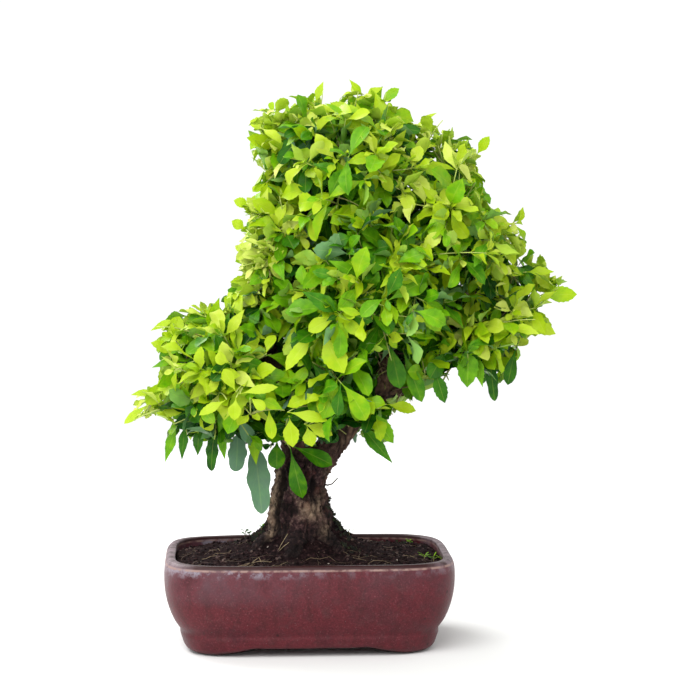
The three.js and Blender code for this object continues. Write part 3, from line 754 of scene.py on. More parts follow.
# %% Bending a leaf
RIPPLES = 11  # how far a wave runs along a leaf, in radians
LEAST_CURL = 0.01  # a leaf is never quite flat, as its bend is divided by this


def bent_leaf(points, place, along, face, length, width, fold, curl, twist, wave, phase):
    """The blank's points as one leaf that starts at place, points along and looks to face.

    Sizes are in metres, angles in radians. fold lifts both halves, curl bends the point down, twist turns
    it, and wave ripples the edge.
    """
    share, side, skin = points.T
    y = side * width / 2
    z = skin * HALF_THICKNESS + np.abs(y) * math.tan(fold)
    z += wave * width * np.abs(side) * np.sin(share * RIPPLES + phase + side)
    turn = twist * share
    y, z = y * np.cos(turn) - z * np.sin(turn), y * np.sin(turn) + z * np.cos(turn)
    curl = curl if abs(curl) > LEAST_CURL else LEAST_CURL
    bend = curl * share
    x = np.sin(bend) / curl * length + np.sin(bend) * z
    z = -(1 - np.cos(bend)) / curl * length + np.cos(bend) * z
    forward = along.normalized()
    normal = (face - forward * face.dot(forward)).normalized()
    across = normal.cross(forward)
    return np.outer(x, forward) + np.outer(y, across) + np.outer(z, normal) + np.array(place)


# %% [markdown]
# ## Stems
# A young stem is a thin tube. A small ring is extruded from point to point of its line, turned with the
# line and narrowed on the way. Five sides are enough for something a millimetre or two thick.

# %% Stems
STEM_SIDES = 5


def stem(bm, line, thick, thin, woody, green):
    """Adds a tube along the points of line, from radius thick to thin and from age woody to age green."""
    age = bm.faces.layers.float["age"]
    heading = (line[1] - line[0]).normalized()
    turn = UP.rotation_difference(heading).to_matrix()
    ring = bmesh.ops.create_circle(bm, segments=STEM_SIDES, radius=thick, cap_ends=True)["verts"]
    bmesh.ops.rotate(bm, cent=(0, 0, 0), matrix=turn, verts=ring)
    bmesh.ops.translate(bm, vec=line[0], verts=ring)
    cap = ring[0].link_faces[0]
    before = thick
    for number in range(1, len(line)):
        share = number / (len(line) - 1)
        radius = thick + (thin - thick) * share
        if number == 1:
            grown = bmesh.ops.extrude_face_region(bm, geom=[cap])["geom"]
            cap = next(item for item in grown if isinstance(item, bmesh.types.BMFace))
        else:
            cap = bmesh.ops.extrude_discrete_faces(bm, faces=[cap])["faces"][0]
        new_heading = (line[min(number + 1, len(line) - 1)] - line[number - 1]).normalized()
        turn = heading.rotation_difference(new_heading).to_matrix()
        heading = new_heading
        bmesh.ops.translate(bm, vec=line[number] - line[number - 1], verts=cap.verts)
        bmesh.ops.rotate(bm, cent=line[number], matrix=turn, verts=cap.verts)
        for vert in cap.verts:
            vert.co = line[number] + (vert.co - line[number]) * (radius / before)
            for face in vert.link_faces:
                face[age] = woody + (green - woody) * share
        before = radius


def curve_through(start, middle, end, steps):
    """Points of a smooth line from start to end that is drawn towards middle."""
    shares = [step / steps for step in range(steps + 1)]
    return [start * (1 - s) ** 2 + middle * 2 * s * (1 - s) + end * s**2 for s in shares]


def on_line(line, share):
    """The place and heading at a share of a line's points."""
    step = min(int(share * (len(line) - 1)), len(line) - 2)
    part = share * (len(line) - 1) - step
    return line[step].lerp(line[step + 1], part), (line[step + 1] - line[step]).normalized()


def sideways(heading, angle):
    """A direction square to heading, turned round it by angle."""
    side = heading.orthogonal().normalized()
    return Quaternion(heading, angle) @ side


# %% [markdown]
# ## Foliage
# Leaves stand in opposite pairs, each pair turned a quarter from the last, and crowd into a rosette at
# the tip. Young leaves at the outside are small, folded and lime green. Further in they are larger,
# flatter, darker and hang more. One number, age, from 0 to 1, carries all of that, and painted light and
# shade as well: leaves near the outline's top and sides and at its very rim are made younger and paler,
# partly as painted light, and those near its underside older and darker, as painted shade.
#
# A bonsai is also kept in shape with scissors. Seen from its front, this one has a high crown that leans
# right, a shoulder on the right and a low pad on the left. A leaf or a twig that would stick out of that
# outline is tried smaller first, and is left off if it still does. Here and there a patch of leaves is
# made older and darker than its neighbours, as painted shade in the crown's hollows, and a few are made
# younger and paler, as painted light. A few spots are kept free so that a limb shows.

# %% Pruned outline
# The outline that the scissors keep, seen from the front: x and z in mm.
CROWN_OUTLINE = [
    (-156, 214), (-150, 226), (-163, 236), (-195, 237), (-193, 268), (-162, 282), (-170, 312),
    (-164, 347), (-130, 361), (-98, 373), (-86, 385), (-78, 400), (-80, 430), (-67, 450), (-78, 472),
    (-58, 486), (-54, 506), (-73, 527), (-66, 548), (-61, 571), (-22, 584), (10, 599), (24, 574),
    (46, 599), (82, 598), (101, 581), (126, 567), (150, 551), (183, 544), (194, 516), (184, 500),
    (198, 482), (194, 466), (233, 463), (235, 444), (249, 420), (263, 403), (284, 390), (284, 370),
    (254, 356), (273, 330), (242, 321), (233, 308), (228, 284), (197, 270), (180, 284), (136, 284),
    (119, 266), (108, 243), (97, 245), (88, 234), (94, 212), (89, 191), (66, 212), (36, 210),
    (20, 208), (-6, 208), (-24, 206), (-46, 204), (-62, 204), (-78, 207), (-112, 210),
]
VIEWER = Vector((-96, -2298, 480))  # the eye that sees the outline, in mm
DEEPEST = 166  # how far the crown may reach forwards and backwards, in mm, at its middle height
MIDDLE_HEIGHT, HALF_HEIGHT = 385, 238
BULGE = 2.6  # how square the crown is from the side: 2 would be an ellipse


def seen_from_front(place):
    """Where a place appears from the front, as x and z in mm on the plane through the pot's middle."""
    spot = (place - HOME) / MM
    return VIEWER + (spot - VIEWER) * (VIEWER.y / (VIEWER.y - spot.y))


def in_outline(place):
    """Whether a place lies inside the pruned outline when it is seen from the front."""
    spot = (place - HOME) / MM
    if (abs(spot.y) / DEEPEST) ** BULGE + (abs(spot.z - MIDDLE_HEIGHT) / HALF_HEIGHT) ** BULGE > 1:
        return False
    seen = seen_from_front(place)
    crossings = 0
    for (x1, z1), (x2, z2) in zip(CROWN_OUTLINE, CROWN_OUTLINE[1:] + CROWN_OUTLINE[:1]):
        if (z1 > seen.z) != (z2 > seen.z) and seen.x < x1 + (x2 - x1) * (seen.z - z1) / (z2 - z1):
            crossings += 1
    return crossings % 2 == 1


print("points of the outline", len(CROWN_OUTLINE))

# %% Patches and cleared spots
# Where no leaf hides the wood, as it appears from the front: x, z and radius in mm.
CLEARED = [(92, 298, 15), (85, 272, 12), (96, 262, 10), (46, 224, 13), (-38, 303, 9)]
# Patches of painted shade and light, as they appear from the front: x, z and radius in mm, and the
# change in age. A plus makes the leaves older and darker, as painted shade; a minus makes them younger
# and paler, as painted light.
SHADE_AND_LIGHT_PATCHES = [
    (42, 532, 24, 0.3), (0, 477, 17, 0.3), (56, 432, 22, 0.36), (56, 408, 20, 0.36),
    (111, 421, 15, 0.28), (156, 465, 22, 0.28), (125, 365, 22, 0.36), (28, 330, 22, 0.42),
    (97, 337, 18, 0.3), (-56, 309, 15, 0.3), (0, 253, 16, 0.3), (56, 253, 16, 0.3),
    (38, 281, 20, 0.32), (-28, 532, 20, -0.35), (-50, 432, 22, -0.5), (-50, 398, 22, -0.5),
    (111, 468, 18, -0.3), (140, 393, 17, -0.3), (204, 393, 18, -0.3), (167, 337, 15, -0.35),
    (139, 309, 14, -0.3), (-167, 253, 20, -0.5),
]


def hides_wood(place):
    """Whether a leaf at a place would stand in front of a cleared part of a limb."""
    if place.y >= HOME.y:
        return False
    seen = seen_from_front(place)
    return any(math.hypot(seen.x - x, seen.z - z) < radius for x, z, radius in CLEARED)


def shade_and_light_age(place):
    """The change in age at a place on the front: older for painted shade, younger for painted light."""
    if place.y >= HOME.y:
        return 0
    seen = seen_from_front(place)
    return sum(
        math.exp(-((seen.x - x) ** 2 + (seen.z - z) ** 2) / radius**2) * change
        for x, z, radius, change in SHADE_AND_LIGHT_PATCHES
    )


print("patches", len(SHADE_AND_LIGHT_PATCHES), "cleared spots", len(CLEARED))

# %% Foliage helpers
# A leaf is near the outline's top or sides, or near its underside, if one of these steps leads outside.
# Near the top and sides it is made younger and paler, partly as painted light; near the underside older
# and darker, as painted shade.
TO_OUTLINE = [UP * 40 * MM, Vector((36, 0, 0)) * MM, Vector((-36, 0, 0)) * MM]
TO_SHADED_UNDERSIDE = UP * 34 * MM
# Its point is at the very rim if one of these does. There it is kept young and pale, as painted light.
RIM = [UP * 17 * MM, Vector((17, 0, 8)) * MM, Vector((-17, 0, 8)) * MM]
ROOM = 30 * MM  # most leaves keep inside the outline by some part of this
# Ages: the oldest near the outline and at its very rim, where leaves are kept pale as painted light, the
# oldest that a patch of painted shade makes, and the least age of a leaf with an old shape.
EDGE_AGE, LIT_RIM_AGE, SHADE_PATCH_AGE, OLD_SHAPE = 0.62, 0.6, 0.78, 0.8
YOUNG_LENGTH, OLD_LENGTH = 29, 41
# Blanks, and their width as a share of their length.
OLD_SHAPES = (("spoon", 0.46), ("hanging", 0.4))
YOUNG_SHAPES = (("toothed", 0.5), ("toothed", 0.43), ("spoon", 0.42), ("pointed", 0.37))
carriers = []  # points of all stems, for single leaves that are added later


def new_foliage():
    """An empty bundle: the stems as a bmesh and the leaves as a list."""
    bm = bmesh.new()
    bm.faces.layers.float.new("age")
    bm.faces.layers.float.new("tone")
    return {"stems": bm, "leaves": []}


def grow_leaf(bundle, place, along, face, age, luck, size=1):
    """Adds a leaf of an age from 0 to 1, if it keeps inside the outline with some room to spare."""
    if not all(in_outline(place + step) for step in TO_OUTLINE):
        age = min(age, EDGE_AGE) - 0.1
    elif not in_outline(place - TO_SHADED_UNDERSIDE):
        age += 0.3
    age = min(max(age + shade_and_light_age(place), 0), max(age, SHADE_PATCH_AGE), 1)
    grown = YOUNG_LENGTH + (OLD_LENGTH - YOUNG_LENGTH) * min(age * 1.3, 1)
    length = size * grown * luck.uniform(0.76, 1.2)
    blank, slimness = luck.choice(OLD_SHAPES if age > OLD_SHAPE else YOUNG_SHAPES)
    width = length * slimness * luck.uniform(0.88, 1.12)
    bend = {
        "fold": math.radians(luck.uniform(16, 40) * (1 - age) + luck.uniform(4, 20) * age),
        "curl": luck.uniform(-0.5, 0.9) * (1 - age) + luck.uniform(0.2, 1.3) * age,
        "twist": luck.uniform(-0.7, 0.7),
        "wave": luck.uniform(0.02, 0.2),
        "phase": luck.uniform(0, 6),
    }
    along = (along + UP * (0.22 - 0.6 * age)).normalized()
    tone = luck.uniform(-1, 1)
    room = ROOM * luck.random() ** 1.4
    for trim in (1, 0.82):
        long, wide = length * trim * MM, width * trim * MM
        points = bent_leaf(BLANKS[blank][1], place, along, face, long, wide, **bend)
        reached = [Vector(points[number]) for number in CORNERS[blank]]
        if any(hides_wood(corner) for corner in [place, *reached]):
            return
        if all(in_outline(corner + (corner - place).normalized() * room) for corner in reached):
            # At the very rim the leaf is kept young and pale: painted light.
            in_light = not all(in_outline(reached[0] + step) for step in RIM)
            bundle["leaves"].append((blank, points, min(age, LIT_RIM_AGE) if in_light else age, tone))
            return


# The pairs that crowd at a tip: size against a grown leaf, and how far they open in degrees.
TIP_PAIRS = [(1.0, 66), (0.86, 46), (0.5, 22)]
OPENING = 62  # how far the pairs below the tip open, in degrees
TIP_SPACING = 5  # how far the pairs of a tip are spread along the stem, in mm for a whole leaf's size


def leafy_stem(bundle, line, thick, thin, pairs, ages, outward, luck, tip_pairs=3):
    """A stem with opposite pairs of leaves at the given shares and more pairs that crowd at its tip."""
    oldest, youngest = ages
    stem(bundle["stems"], line, thick, thin, min(oldest + 0.1, 1), youngest * 0.6)
    carriers.extend(line[1:])
    turn = luck.uniform(0, math.pi)
    stations = [(share, 1, OPENING) for share in pairs]
    stations += [(1, size, spread) for size, spread in TIP_PAIRS[-tip_pairs:]]
    for share, size, spread in stations:
        place, heading = on_line(line, share)
        if share == 1:
            place = place - heading * (size - TIP_PAIRS[-1][0]) * TIP_SPACING * MM
        for half in (0, math.pi):
            age = oldest + (youngest - oldest) * share + luck.uniform(-0.2, 0.2)
            side = sideways(heading, turn + half + luck.uniform(-0.4, 0.4))
            opening = math.radians(spread + luck.uniform(-16, 16))
            along = heading * math.cos(opening) + side * math.sin(opening)
            lit = Vector((outward.x * 0.3, outward.y * 0.6, outward.z * 0.3 + 0.65))
            grow_leaf(bundle, place, along, lit + jitter(luck, 0.7), age, luck, size)
        turn += math.pi / 2


def foliage_mesh(name, bundle):
    """One mesh of a bundle's stems and leaves. Its faces know their age, tone and side."""
    bm = bundle["stems"]
    bmesh.ops.recalc_face_normals(bm, faces=bm.faces[:])
    for face in bm.faces:
        face.material_index = 1
    points = [np.array([vert.co for vert in bm.verts]).reshape(-1, 3)]
    age, tone = bm.faces.layers.float["age"], bm.faces.layers.float["tone"]
    ages, tones = [face[age] for face in bm.faces], [face[tone] for face in bm.faces]
    for blank, leaf, leaf_age, leaf_tone in bundle["leaves"]:
        bm.from_mesh(BLANKS[blank][0])
        points.append(leaf)
        ages += [leaf_age] * len(BLANKS[blank][0].polygons)
        tones += [leaf_tone] * len(BLANKS[blank][0].polygons)
    mesh = mesh_of(bm, name)
    mesh.vertices.foreach_set("co", np.concatenate(points).ravel())
    mesh.attributes["age"].data.foreach_set("value", ages)
    mesh.attributes["tone"].data.foreach_set("value", tones)
    mesh.update()
    return mesh


# %% [markdown]
# ### Leaf and stem materials
# A leaf is a waxy skin over green flesh. The skin is glossy and mirrors the white room as a pale bluish
# sheen, and some light passes through the flesh and turns yellow on its way. So a glossy shader is mixed
# with a translucent one. Midrib and side veins are drawn from the leaf's own UV map, and the underside is
# paler.

# %% Leaf material
foliage, tree, here = blank_material("waxy_fresh_leaf")
age = add(tree, "Attribute", out="Fac", attribute_name="age")
tone_shift = add(tree, "Attribute", out="Fac", attribute_name="tone")
under = add(tree, "Attribute", out="Fac", attribute_name="under")
cloud = add(tree, "TexNoise", {"Vector": here, "Scale": per_mm(9), "Detail": 3})
cloud = add(tree, "MapRange", {0: cloud, 1: 0.3, 2: 0.7, 3: -0.07, 4: 0.07})
shifted = add(tree, "Math", {0: tone_shift, 1: 0.15, 2: age}, operation="MULTIPLY_ADD")
shifted = add(tree, "Math", {0: shifted, 1: cloud}, operation="ADD")
shades = [
    (0, "#CED86E"), (0.2, "#B8CB36"), (0.42, "#A6C214"),
    (0.62, "#74AE0D"), (0.8, "#3E7E09"), (1, "#134A0C"),
]
flesh = add(tree, "ValToRGB", {0: shifted}, stops=shades)
print("leaf flesh:", len(tree.nodes), "nodes")

# %% Leaf veins, back and shine
on_leaf = add(tree, "UVMap", uv_map="leaf")
apart = add(tree, "SeparateXYZ", {0: on_leaf}, out="X")
lengthwise = add(tree, "SeparateXYZ", {0: on_leaf}, out="Y")
off_midrib = add(tree, "Math", {0: apart, 1: 2.0, 2: -1.0}, operation="MULTIPLY_ADD")
off_midrib = add(tree, "Math", {0: off_midrib}, operation="ABSOLUTE")
midrib = add(tree, "MapRange", {0: off_midrib, 1: 0.02, 2: 0.09, 3: 1.0, 4: 0.0})
slant = add(tree, "Math", {0: off_midrib, 1: -0.26, 2: lengthwise}, operation="MULTIPLY_ADD")
vein = add(tree, "Math", {0: slant, 1: 0.055}, operation="PINGPONG")
vein = add(tree, "MapRange", {0: vein, 1: 0.0, 2: 0.012, 3: 0.3, 4: 0.0})
veins = add(tree, "Math", {0: midrib, 1: vein}, operation="MAXIMUM")
pale = add(tree, "Mix", {0: 0.4, 6: flesh, 7: "#CBDB5E"}, **COLOUR)
drawn = add(tree, "Math", {0: veins, 1: 0.42}, operation="MULTIPLY")
flesh = add(tree, "Mix", {0: drawn, 6: flesh, 7: pale}, **COLOUR)
backs = add(tree, "Math", {0: under, 1: 0.5}, operation="MULTIPLY")
back_shade = add(tree, "ValToRGB", {0: age}, stops=[(0.2, "#A0C038"), (0.9, "#86AC90")])
flesh = add(tree, "Mix", {0: backs, 6: flesh, 7: back_shade}, **COLOUR)
gloss = add(tree, "MapRange", {0: age, 1: 0.0, 2: 1.0, 3: 0.46, 4: 0.33})
quilt = add(tree, "Math", {0: veins, 1: -1.0}, operation="MULTIPLY")
quilt = add(tree, "Bump", {"Height": quilt, "Strength": 0.5, "Distance": 0.25 * MM})
skin_look = {"Base Color": flesh, "Roughness": gloss, "Specular IOR Level": 0.18, "Normal": quilt}
skin = add(tree, "BsdfPrincipled", skin_look)
through = add(tree, "HueSaturation", {"Hue": 0.5, "Saturation": 1.05, "Value": 1.42, "Color": flesh})
glow = add(tree, "BsdfTranslucent", {"Color": through})
look = add(tree, "MixShader", {0: 0.3, 1: skin, 2: glow})
add(tree, "OutputMaterial", {"Surface": look})
print("whole leaf:", len(tree.nodes), "nodes")

# %% Stem material
twig_skin, tree, here = blank_material("green_shoot_turning_woody")
age = add(tree, "Attribute", out="Fac", attribute_name="age")
mottle = add(tree, "TexNoise", {"Vector": here, "Scale": per_mm(2.5), "Detail": 3})
mottle = add(tree, "Math", {0: mottle, 1: 0.3, 2: age}, operation="MULTIPLY_ADD")
shades = [(0.15, "#B4C65A"), (0.5, "#93A04C"), (0.8, "#7C6A48"), (1, "#5E4937")]
colour = add(tree, "ValToRGB", {0: mottle}, stops=shades)
grooves = add(tree, "Bump", {"Height": mottle, "Strength": 0.4, "Distance": 0.3 * MM})
look = {"Base Color": colour, "Roughness": 0.55, "Specular IOR Level": 0.4, "Normal": grooves}
add(tree, "OutputMaterial", {"Surface": add(tree, "BsdfPrincipled", look)})
print("stem:", len(tree.nodes), "nodes")

# %% [markdown]
# ## The leafy shoots
# Each shoot of the frame says where it leaves the wood and where its last leaf ends. Its place on the
# wood is the point of its solid that lies nearest to the limbs, and its tip is the point farthest from
# there. The real stem is a smooth line between them, with side twigs that turn round it by the golden
# angle, as on most plants.

# %% Shoots
GOLDEN_ANGLE = math.radians(137.5)
LAST_LEAF = 26 * MM  # the stem stops this far before the outermost leaf point
YOUTH = {
    "crown": 0.85, "shoulder": 0.75, "right": 0.65, "centre": 0.55, "left_shoulder": 0.65, "left_pad": 0.6,
    "low": 0.15,
}
# Where the pairs of leaves stand, as shares of the stem.
MAIN_PAIRS = (0.12, 0.3, 0.48, 0.66, 0.84)
# Where the side twigs stand, as a share of the stem, and how long they are in mm.
SIDE_TWIGS = [(0.16, 58), (0.3, 54), (0.46, 48), (0.64, 38), (0.84, 26)]
# Radius of a main stem and of a side twig, at their two ends.
MAIN_STEM, SIDE_STEM = (1.7 * MM, 0.7 * MM), (0.9 * MM, 0.5 * MM)
SHORTEST = 8 * MM  # a side twig is not cut shorter than this, and keeps as much room beyond its tip
wood_tree = surface_of(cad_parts["trunk"].data)


def foliage_piece(name, bundle, replaced=()):
    """Makes the piece of a bundle of stems and leaves."""
    print(len(bundle["leaves"]), "leaves")
    piece(name, foliage_mesh(name, bundle), [foliage, twig_skin], replaced)


def shoot_ends(node):
    """Where a shoot's stem starts in the wood, its rough middle and its outermost point."""
    points = [vert.co.copy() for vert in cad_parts[node].data.vertices]
    on_wood = [wood_tree.find_nearest(point) for point in points]
    nearest = min(range(len(points)), key=lambda i: on_wood[i][3])
    seat = on_wood[nearest][0] - on_wood[nearest][1] * 3 * MM
    tip = max(points, key=lambda point: (point - seat).length)
    span = tip - seat
    between = [p for p in points if 0.2 < (p - seat).dot(span) / span.length_squared < 0.5]
    middle = sum(between, Vector()) / len(between) if between else (seat + tip) / 2
    return seat, middle, tip


def grow_shoot(bundle, seat, middle, tip, youth, luck):
    """A main stem from seat to tip with its leaves and side twigs. youth, from 0 to 1, freshens them."""
    outward = (tip - seat).normalized()
    end = tip - outward * LAST_LEAF
    line = curve_through(seat, middle * 1.3 - (seat + end) * 0.15, end, 7)
    inner_age = 1.15 - 0.35 * youth
    outer_age = 0.67 - 0.6 * youth
    leafy_stem(bundle, line, *MAIN_STEM, MAIN_PAIRS, (inner_age, outer_age), outward, luck)
    turn = luck.uniform(0, 6)
    for share, reach in SIDE_TWIGS:
        turn += GOLDEN_ANGLE
        start, heading = on_line(line, share)
        lean = math.radians(luck.uniform(42, 58))
        way = heading * math.cos(lean) + sideways(heading, turn) * math.sin(lean) + UP * 0.12
        length = reach * luck.uniform(0.8, 1.15) * MM
        while not in_outline(start + way.normalized() * (length + SHORTEST)) and length > SHORTEST:
            length *= 0.8
        finish = start + way.normalized() * length
        lift = UP * luck.uniform(-0.1, 0.12) * length
        twig = curve_through(start, (start + finish) / 2 - lift, finish, 4)
        ages = (inner_age + (outer_age - inner_age) * share, outer_age + 0.25 * (1 - share))
        leafy_stem(bundle, twig, *SIDE_STEM, (0.55,), ages, outward, luck)


for node in sorted(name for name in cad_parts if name.startswith("shoot_")):
    region = node[len("shoot_") : -len("_01")]
    bundle = new_foliage()
    seat, middle, tip = shoot_ends(node)
    grow_shoot(bundle, seat, middle, tip, YOUTH[region], random.Random(node))
    foliage_piece(node.replace("shoot", "foliage"), bundle, [node])

# %% [markdown]
# ### Shoots that face the viewer
# Between the frame's shoots a few more grow forwards out of the limbs. They close the front of the crown,
# and one of them is the bright tuft high on the right. Each starts where the limb is nearest to its tip.

# %% Front shoots
# Tip in mm, and youth.
FRONT_SHOOTS = [
    ((122, -125, 480), 0.95), ((92, -112, 446), 0.55), ((84, -122, 505), 0.6), ((176, -92, 388), 0.6),
    ((158, -100, 345), 0.5), ((-12, -112, 330), 0.5), ((-44, -92, 300), 0.35), ((22, -118, 285), 0.45),
    ((116, -84, 290), 0.3), ((60, -126, 400), 0.5), ((-84, -112, 276), 0.85), ((2, -108, 384), 0.55),
    ((-30, -96, 434), 0.6), ((196, -70, 420), 0.65), ((-64, -62, 398), 0.8), ((-58, -56, 446), 0.75),
    ((-44, -76, 366), 0.65),
]
for number, (place, youth) in enumerate(FRONT_SHOOTS, 1):
    tip = at(*place)
    seat = wood_tree.find_nearest(tip)[0]
    bundle = new_foliage()
    middle = (seat + tip) / 2 + UP * 8 * MM
    grow_shoot(bundle, seat, middle, tip, youth, random.Random(f"front {number}"))
    foliage_piece(f"foliage_front_{number:02d}", bundle)

# %% Arching whips
# A few longer shoots arch out of the crown and show their pale, bare stems: start and end in mm.
WHIPS = [
    ((92, -118, 412), (176, -132, 420)), ((-21, -70, 252), (70, -84, 258)),
    ((174, -76, 338), (232, -92, 350)), ((-25, -40, 452), (-66, -60, 470)),
    ((-31, -56, 408), (-74, -78, 404)), ((10, -30, 536), (14, -50, 586)),
    ((44, -24, 540), (52, -36, 586)), ((-122, -50, 262), (-184, -64, 245)),
    ((-112, -46, 330), (-160, -60, 342)), ((118, -40, 520), (138, -64, 556)),
    ((28, -120, 352), (96, -138, 356)), ((-96, -84, 312), (-140, -104, 300)),
]
WHIP_STEM = (0.95 * MM, 0.5 * MM)
whips = new_foliage()
luck = random.Random("whips")
for start, end in WHIPS:
    start, end = at(*start), at(*end)
    outward = (end - start).normalized()
    line = curve_through(start, (start + end) / 2 + UP * 7 * MM, end, 6)
    leafy_stem(whips, line, *WHIP_STEM, (0.52, 0.8), (0.5, 0.22), outward, luck, 2)
foliage_piece("foliage_whips", whips)

# %% [markdown]
# ## Inner leaves
# Short spurs along the limbs, and along the stems deep inside the crown, carry the oldest leaves. They are
# dark and large, hang down, and hide most of the wood. Their places are drawn at random from the skin of
# the limbs and from the points of the stems.

# %% Inner leaves
SPURS = 600
STEM_SPURS = 260
SPUR_STEM = (1.0 * MM, 0.6 * MM)
LIMBS_FROM = 232  # in mm: below this height the trunk stays bare
SPLIT_X, SPLIT_HEIGHT = 20, 350  # the inner leaves are four pieces that meet here, in mm
DEEP_ROOM, DEEP_HALF = 36, 75  # how far inside the outline, and how near to the middle plane, in mm


def deep_inside(place):
    """Whether a place is well inside the outline on all sides and not near the front or the back."""
    if abs(place.y - HOME.y) >= DEEP_HALF * MM:
        return False
    around = [Vector((math.cos(turn), 0, math.sin(turn))) * DEEP_ROOM * MM for turn in range(7)]
    return all(in_outline(place + step) for step in around)


def grow_spur(start, way, length, ages, outward, luck):
    """A short twig with old leaves, added to the bundle of its quarter of the crown."""
    spot = (start - HOME) / MM
    storey = "upper" if spot.z > SPLIT_HEIGHT else "lower"
    bundle = inner[storey + ("_left" if spot.x < SPLIT_X else "_right")]
    finish = start + way.normalized() * length
    if in_outline(finish):
        twig = curve_through(start, (start + finish) / 2 + UP * 4 * MM, finish, 3)
        leafy_stem(bundle, twig, *SPUR_STEM, (0.5,), ages, outward, luck, 2)


luck = random.Random("spurs")
limb_skin = bpy.data.objects["trunk_and_limbs"].data.vertices
spots = [vert for vert in limb_skin if vert.co.z > LIMBS_FROM * MM]
inner = {name: new_foliage() for name in ("lower_left", "lower_right", "upper_left", "upper_right")}
inner_stems = [place for place in carriers if deep_inside(place)]
for _ in range(SPURS):
    vert = luck.choice(spots)
    way = vert.normal + UP * 0.15 + jitter(luck, 0.6)
    outward = (vert.normal + Vector((0, -0.4, 0))).normalized()
    length = luck.uniform(16, 48) * MM
    grow_spur(vert.co - vert.normal * 2 * MM, way, length, (1.05, 0.85), outward, luck)
for _ in range(STEM_SPURS):
    way = jitter(luck, 1)
    length = luck.uniform(10, 26) * MM
    grow_spur(luck.choice(inner_stems), way, length, (1, 0.8), Vector((0, -0.8, 0.2)), luck)
for name, bundle in inner.items():
    foliage_piece("inner_leaves_" + name, bundle)

# %% [markdown]
# ## Single leaves
# A few leaves stand out from the rest and give this tree its face: the ones that hang in front of the
# trunk, the long one at the far right, the tips over the crown. Each is placed one by one, from its stalk
# to its point, and a thin stem joins it to the nearest twig or limb.

# %% Single leaves
# Stalk and point in mm, width in mm, age, blank, and whether the underside looks to the front.
SINGLE_LEAVES = [
    ((-58, -30, 216), (-49, -40, 142), 26, 0.98, "hanging", True),
    ((-34, -30, 220), (-35, -40, 190), 20, 0.74, "spoon", False),
    ((-20, -34, 211), (-9, -44, 157), 19, 0.78, "spoon", False),
    ((-18, -40, 214), (24, -50, 196), 18, 0.84, "spoon", False),
    ((50, -60, 241), (86, -74, 199), 15, 0.85, "pointed", False),
    ((60, -70, 257), (85, -88, 223), 17, 0.58, "toothed", False),
    ((8, -132, 341), (30, -150, 301), 26, 0.4, "toothed", False),
    ((2, -132, 341), (-30, -148, 306), 17, 0.36, "toothed", False),
    ((244, -40, 372), (283, -48, 376), 19, 0.42, "toothed", False),
    ((8, -10, 576), (15, -12, 600), 9, 0.35, "pointed", False),
    ((58, -20, 582), (44, -26, 600), 8, 0.4, "pointed", False),
    ((60, -20, 582), (78, -24, 594), 9, 0.4, "pointed", False),
    ((76, -20, 574), (94, -28, 592), 12, 0.5, "toothed", False),
    ((-168, -20, 259), (-196, -26, 238), 10, 0.3, "spoon", False),
    ((-140, -20, 348), (-168, -26, 338), 8, 0.3, "pointed", False),
    ((-140, -30, 236), (-153, -36, 197), 12, 0.6, "pointed", False),
    ((-131, -36, 238), (-135, -44, 200), 11, 0.85, "pointed", False),
    ((-116, -40, 236), (-119, -50, 206), 12, 0.8, "pointed", False),
    ((-100, -44, 231), (-106, -54, 190), 14, 0.92, "hanging", False),
    ((-94, -50, 236), (-90, -58, 202), 10, 0.7, "pointed", False),
    ((-76, -50, 230), (-76, -60, 188), 21, 0.97, "hanging", True),
    ((-60, -46, 233), (-57, -54, 196), 13, 0.55, "pointed", False),
    ((96, -70, 319), (115, -84, 264), 17, 0.75, "spoon", False),
    ((166, -76, 329), (160, -92, 281), 23, 0.7, "toothed", False),
    ((172, -70, 316), (178, -84, 280), 12, 0.6, "pointed", False),
    ((189, -60, 308), (192, -72, 264), 13, 0.93, "hanging", False),
    ((218, -50, 319), (207, -60, 280), 14, 0.86, "spoon", False),
    ((128, -80, 300), (138, -92, 264), 15, 0.8, "toothed", False),
    ((228, 0, 448), (231, -4, 466), 9, 0.3, "pointed", False),
    ((118, -30, 556), (134, -36, 566), 5, 0.3, "pointed", False),
    ((176, -40, 520), (188, -50, 540), 12, 0.42, "toothed", False),
    ((-66, -30, 442), (-80, -36, 452), 12, 0.35, "toothed", False),
    ((-60, -30, 466), (-78, -36, 474), 12, 0.35, "toothed", False),
]
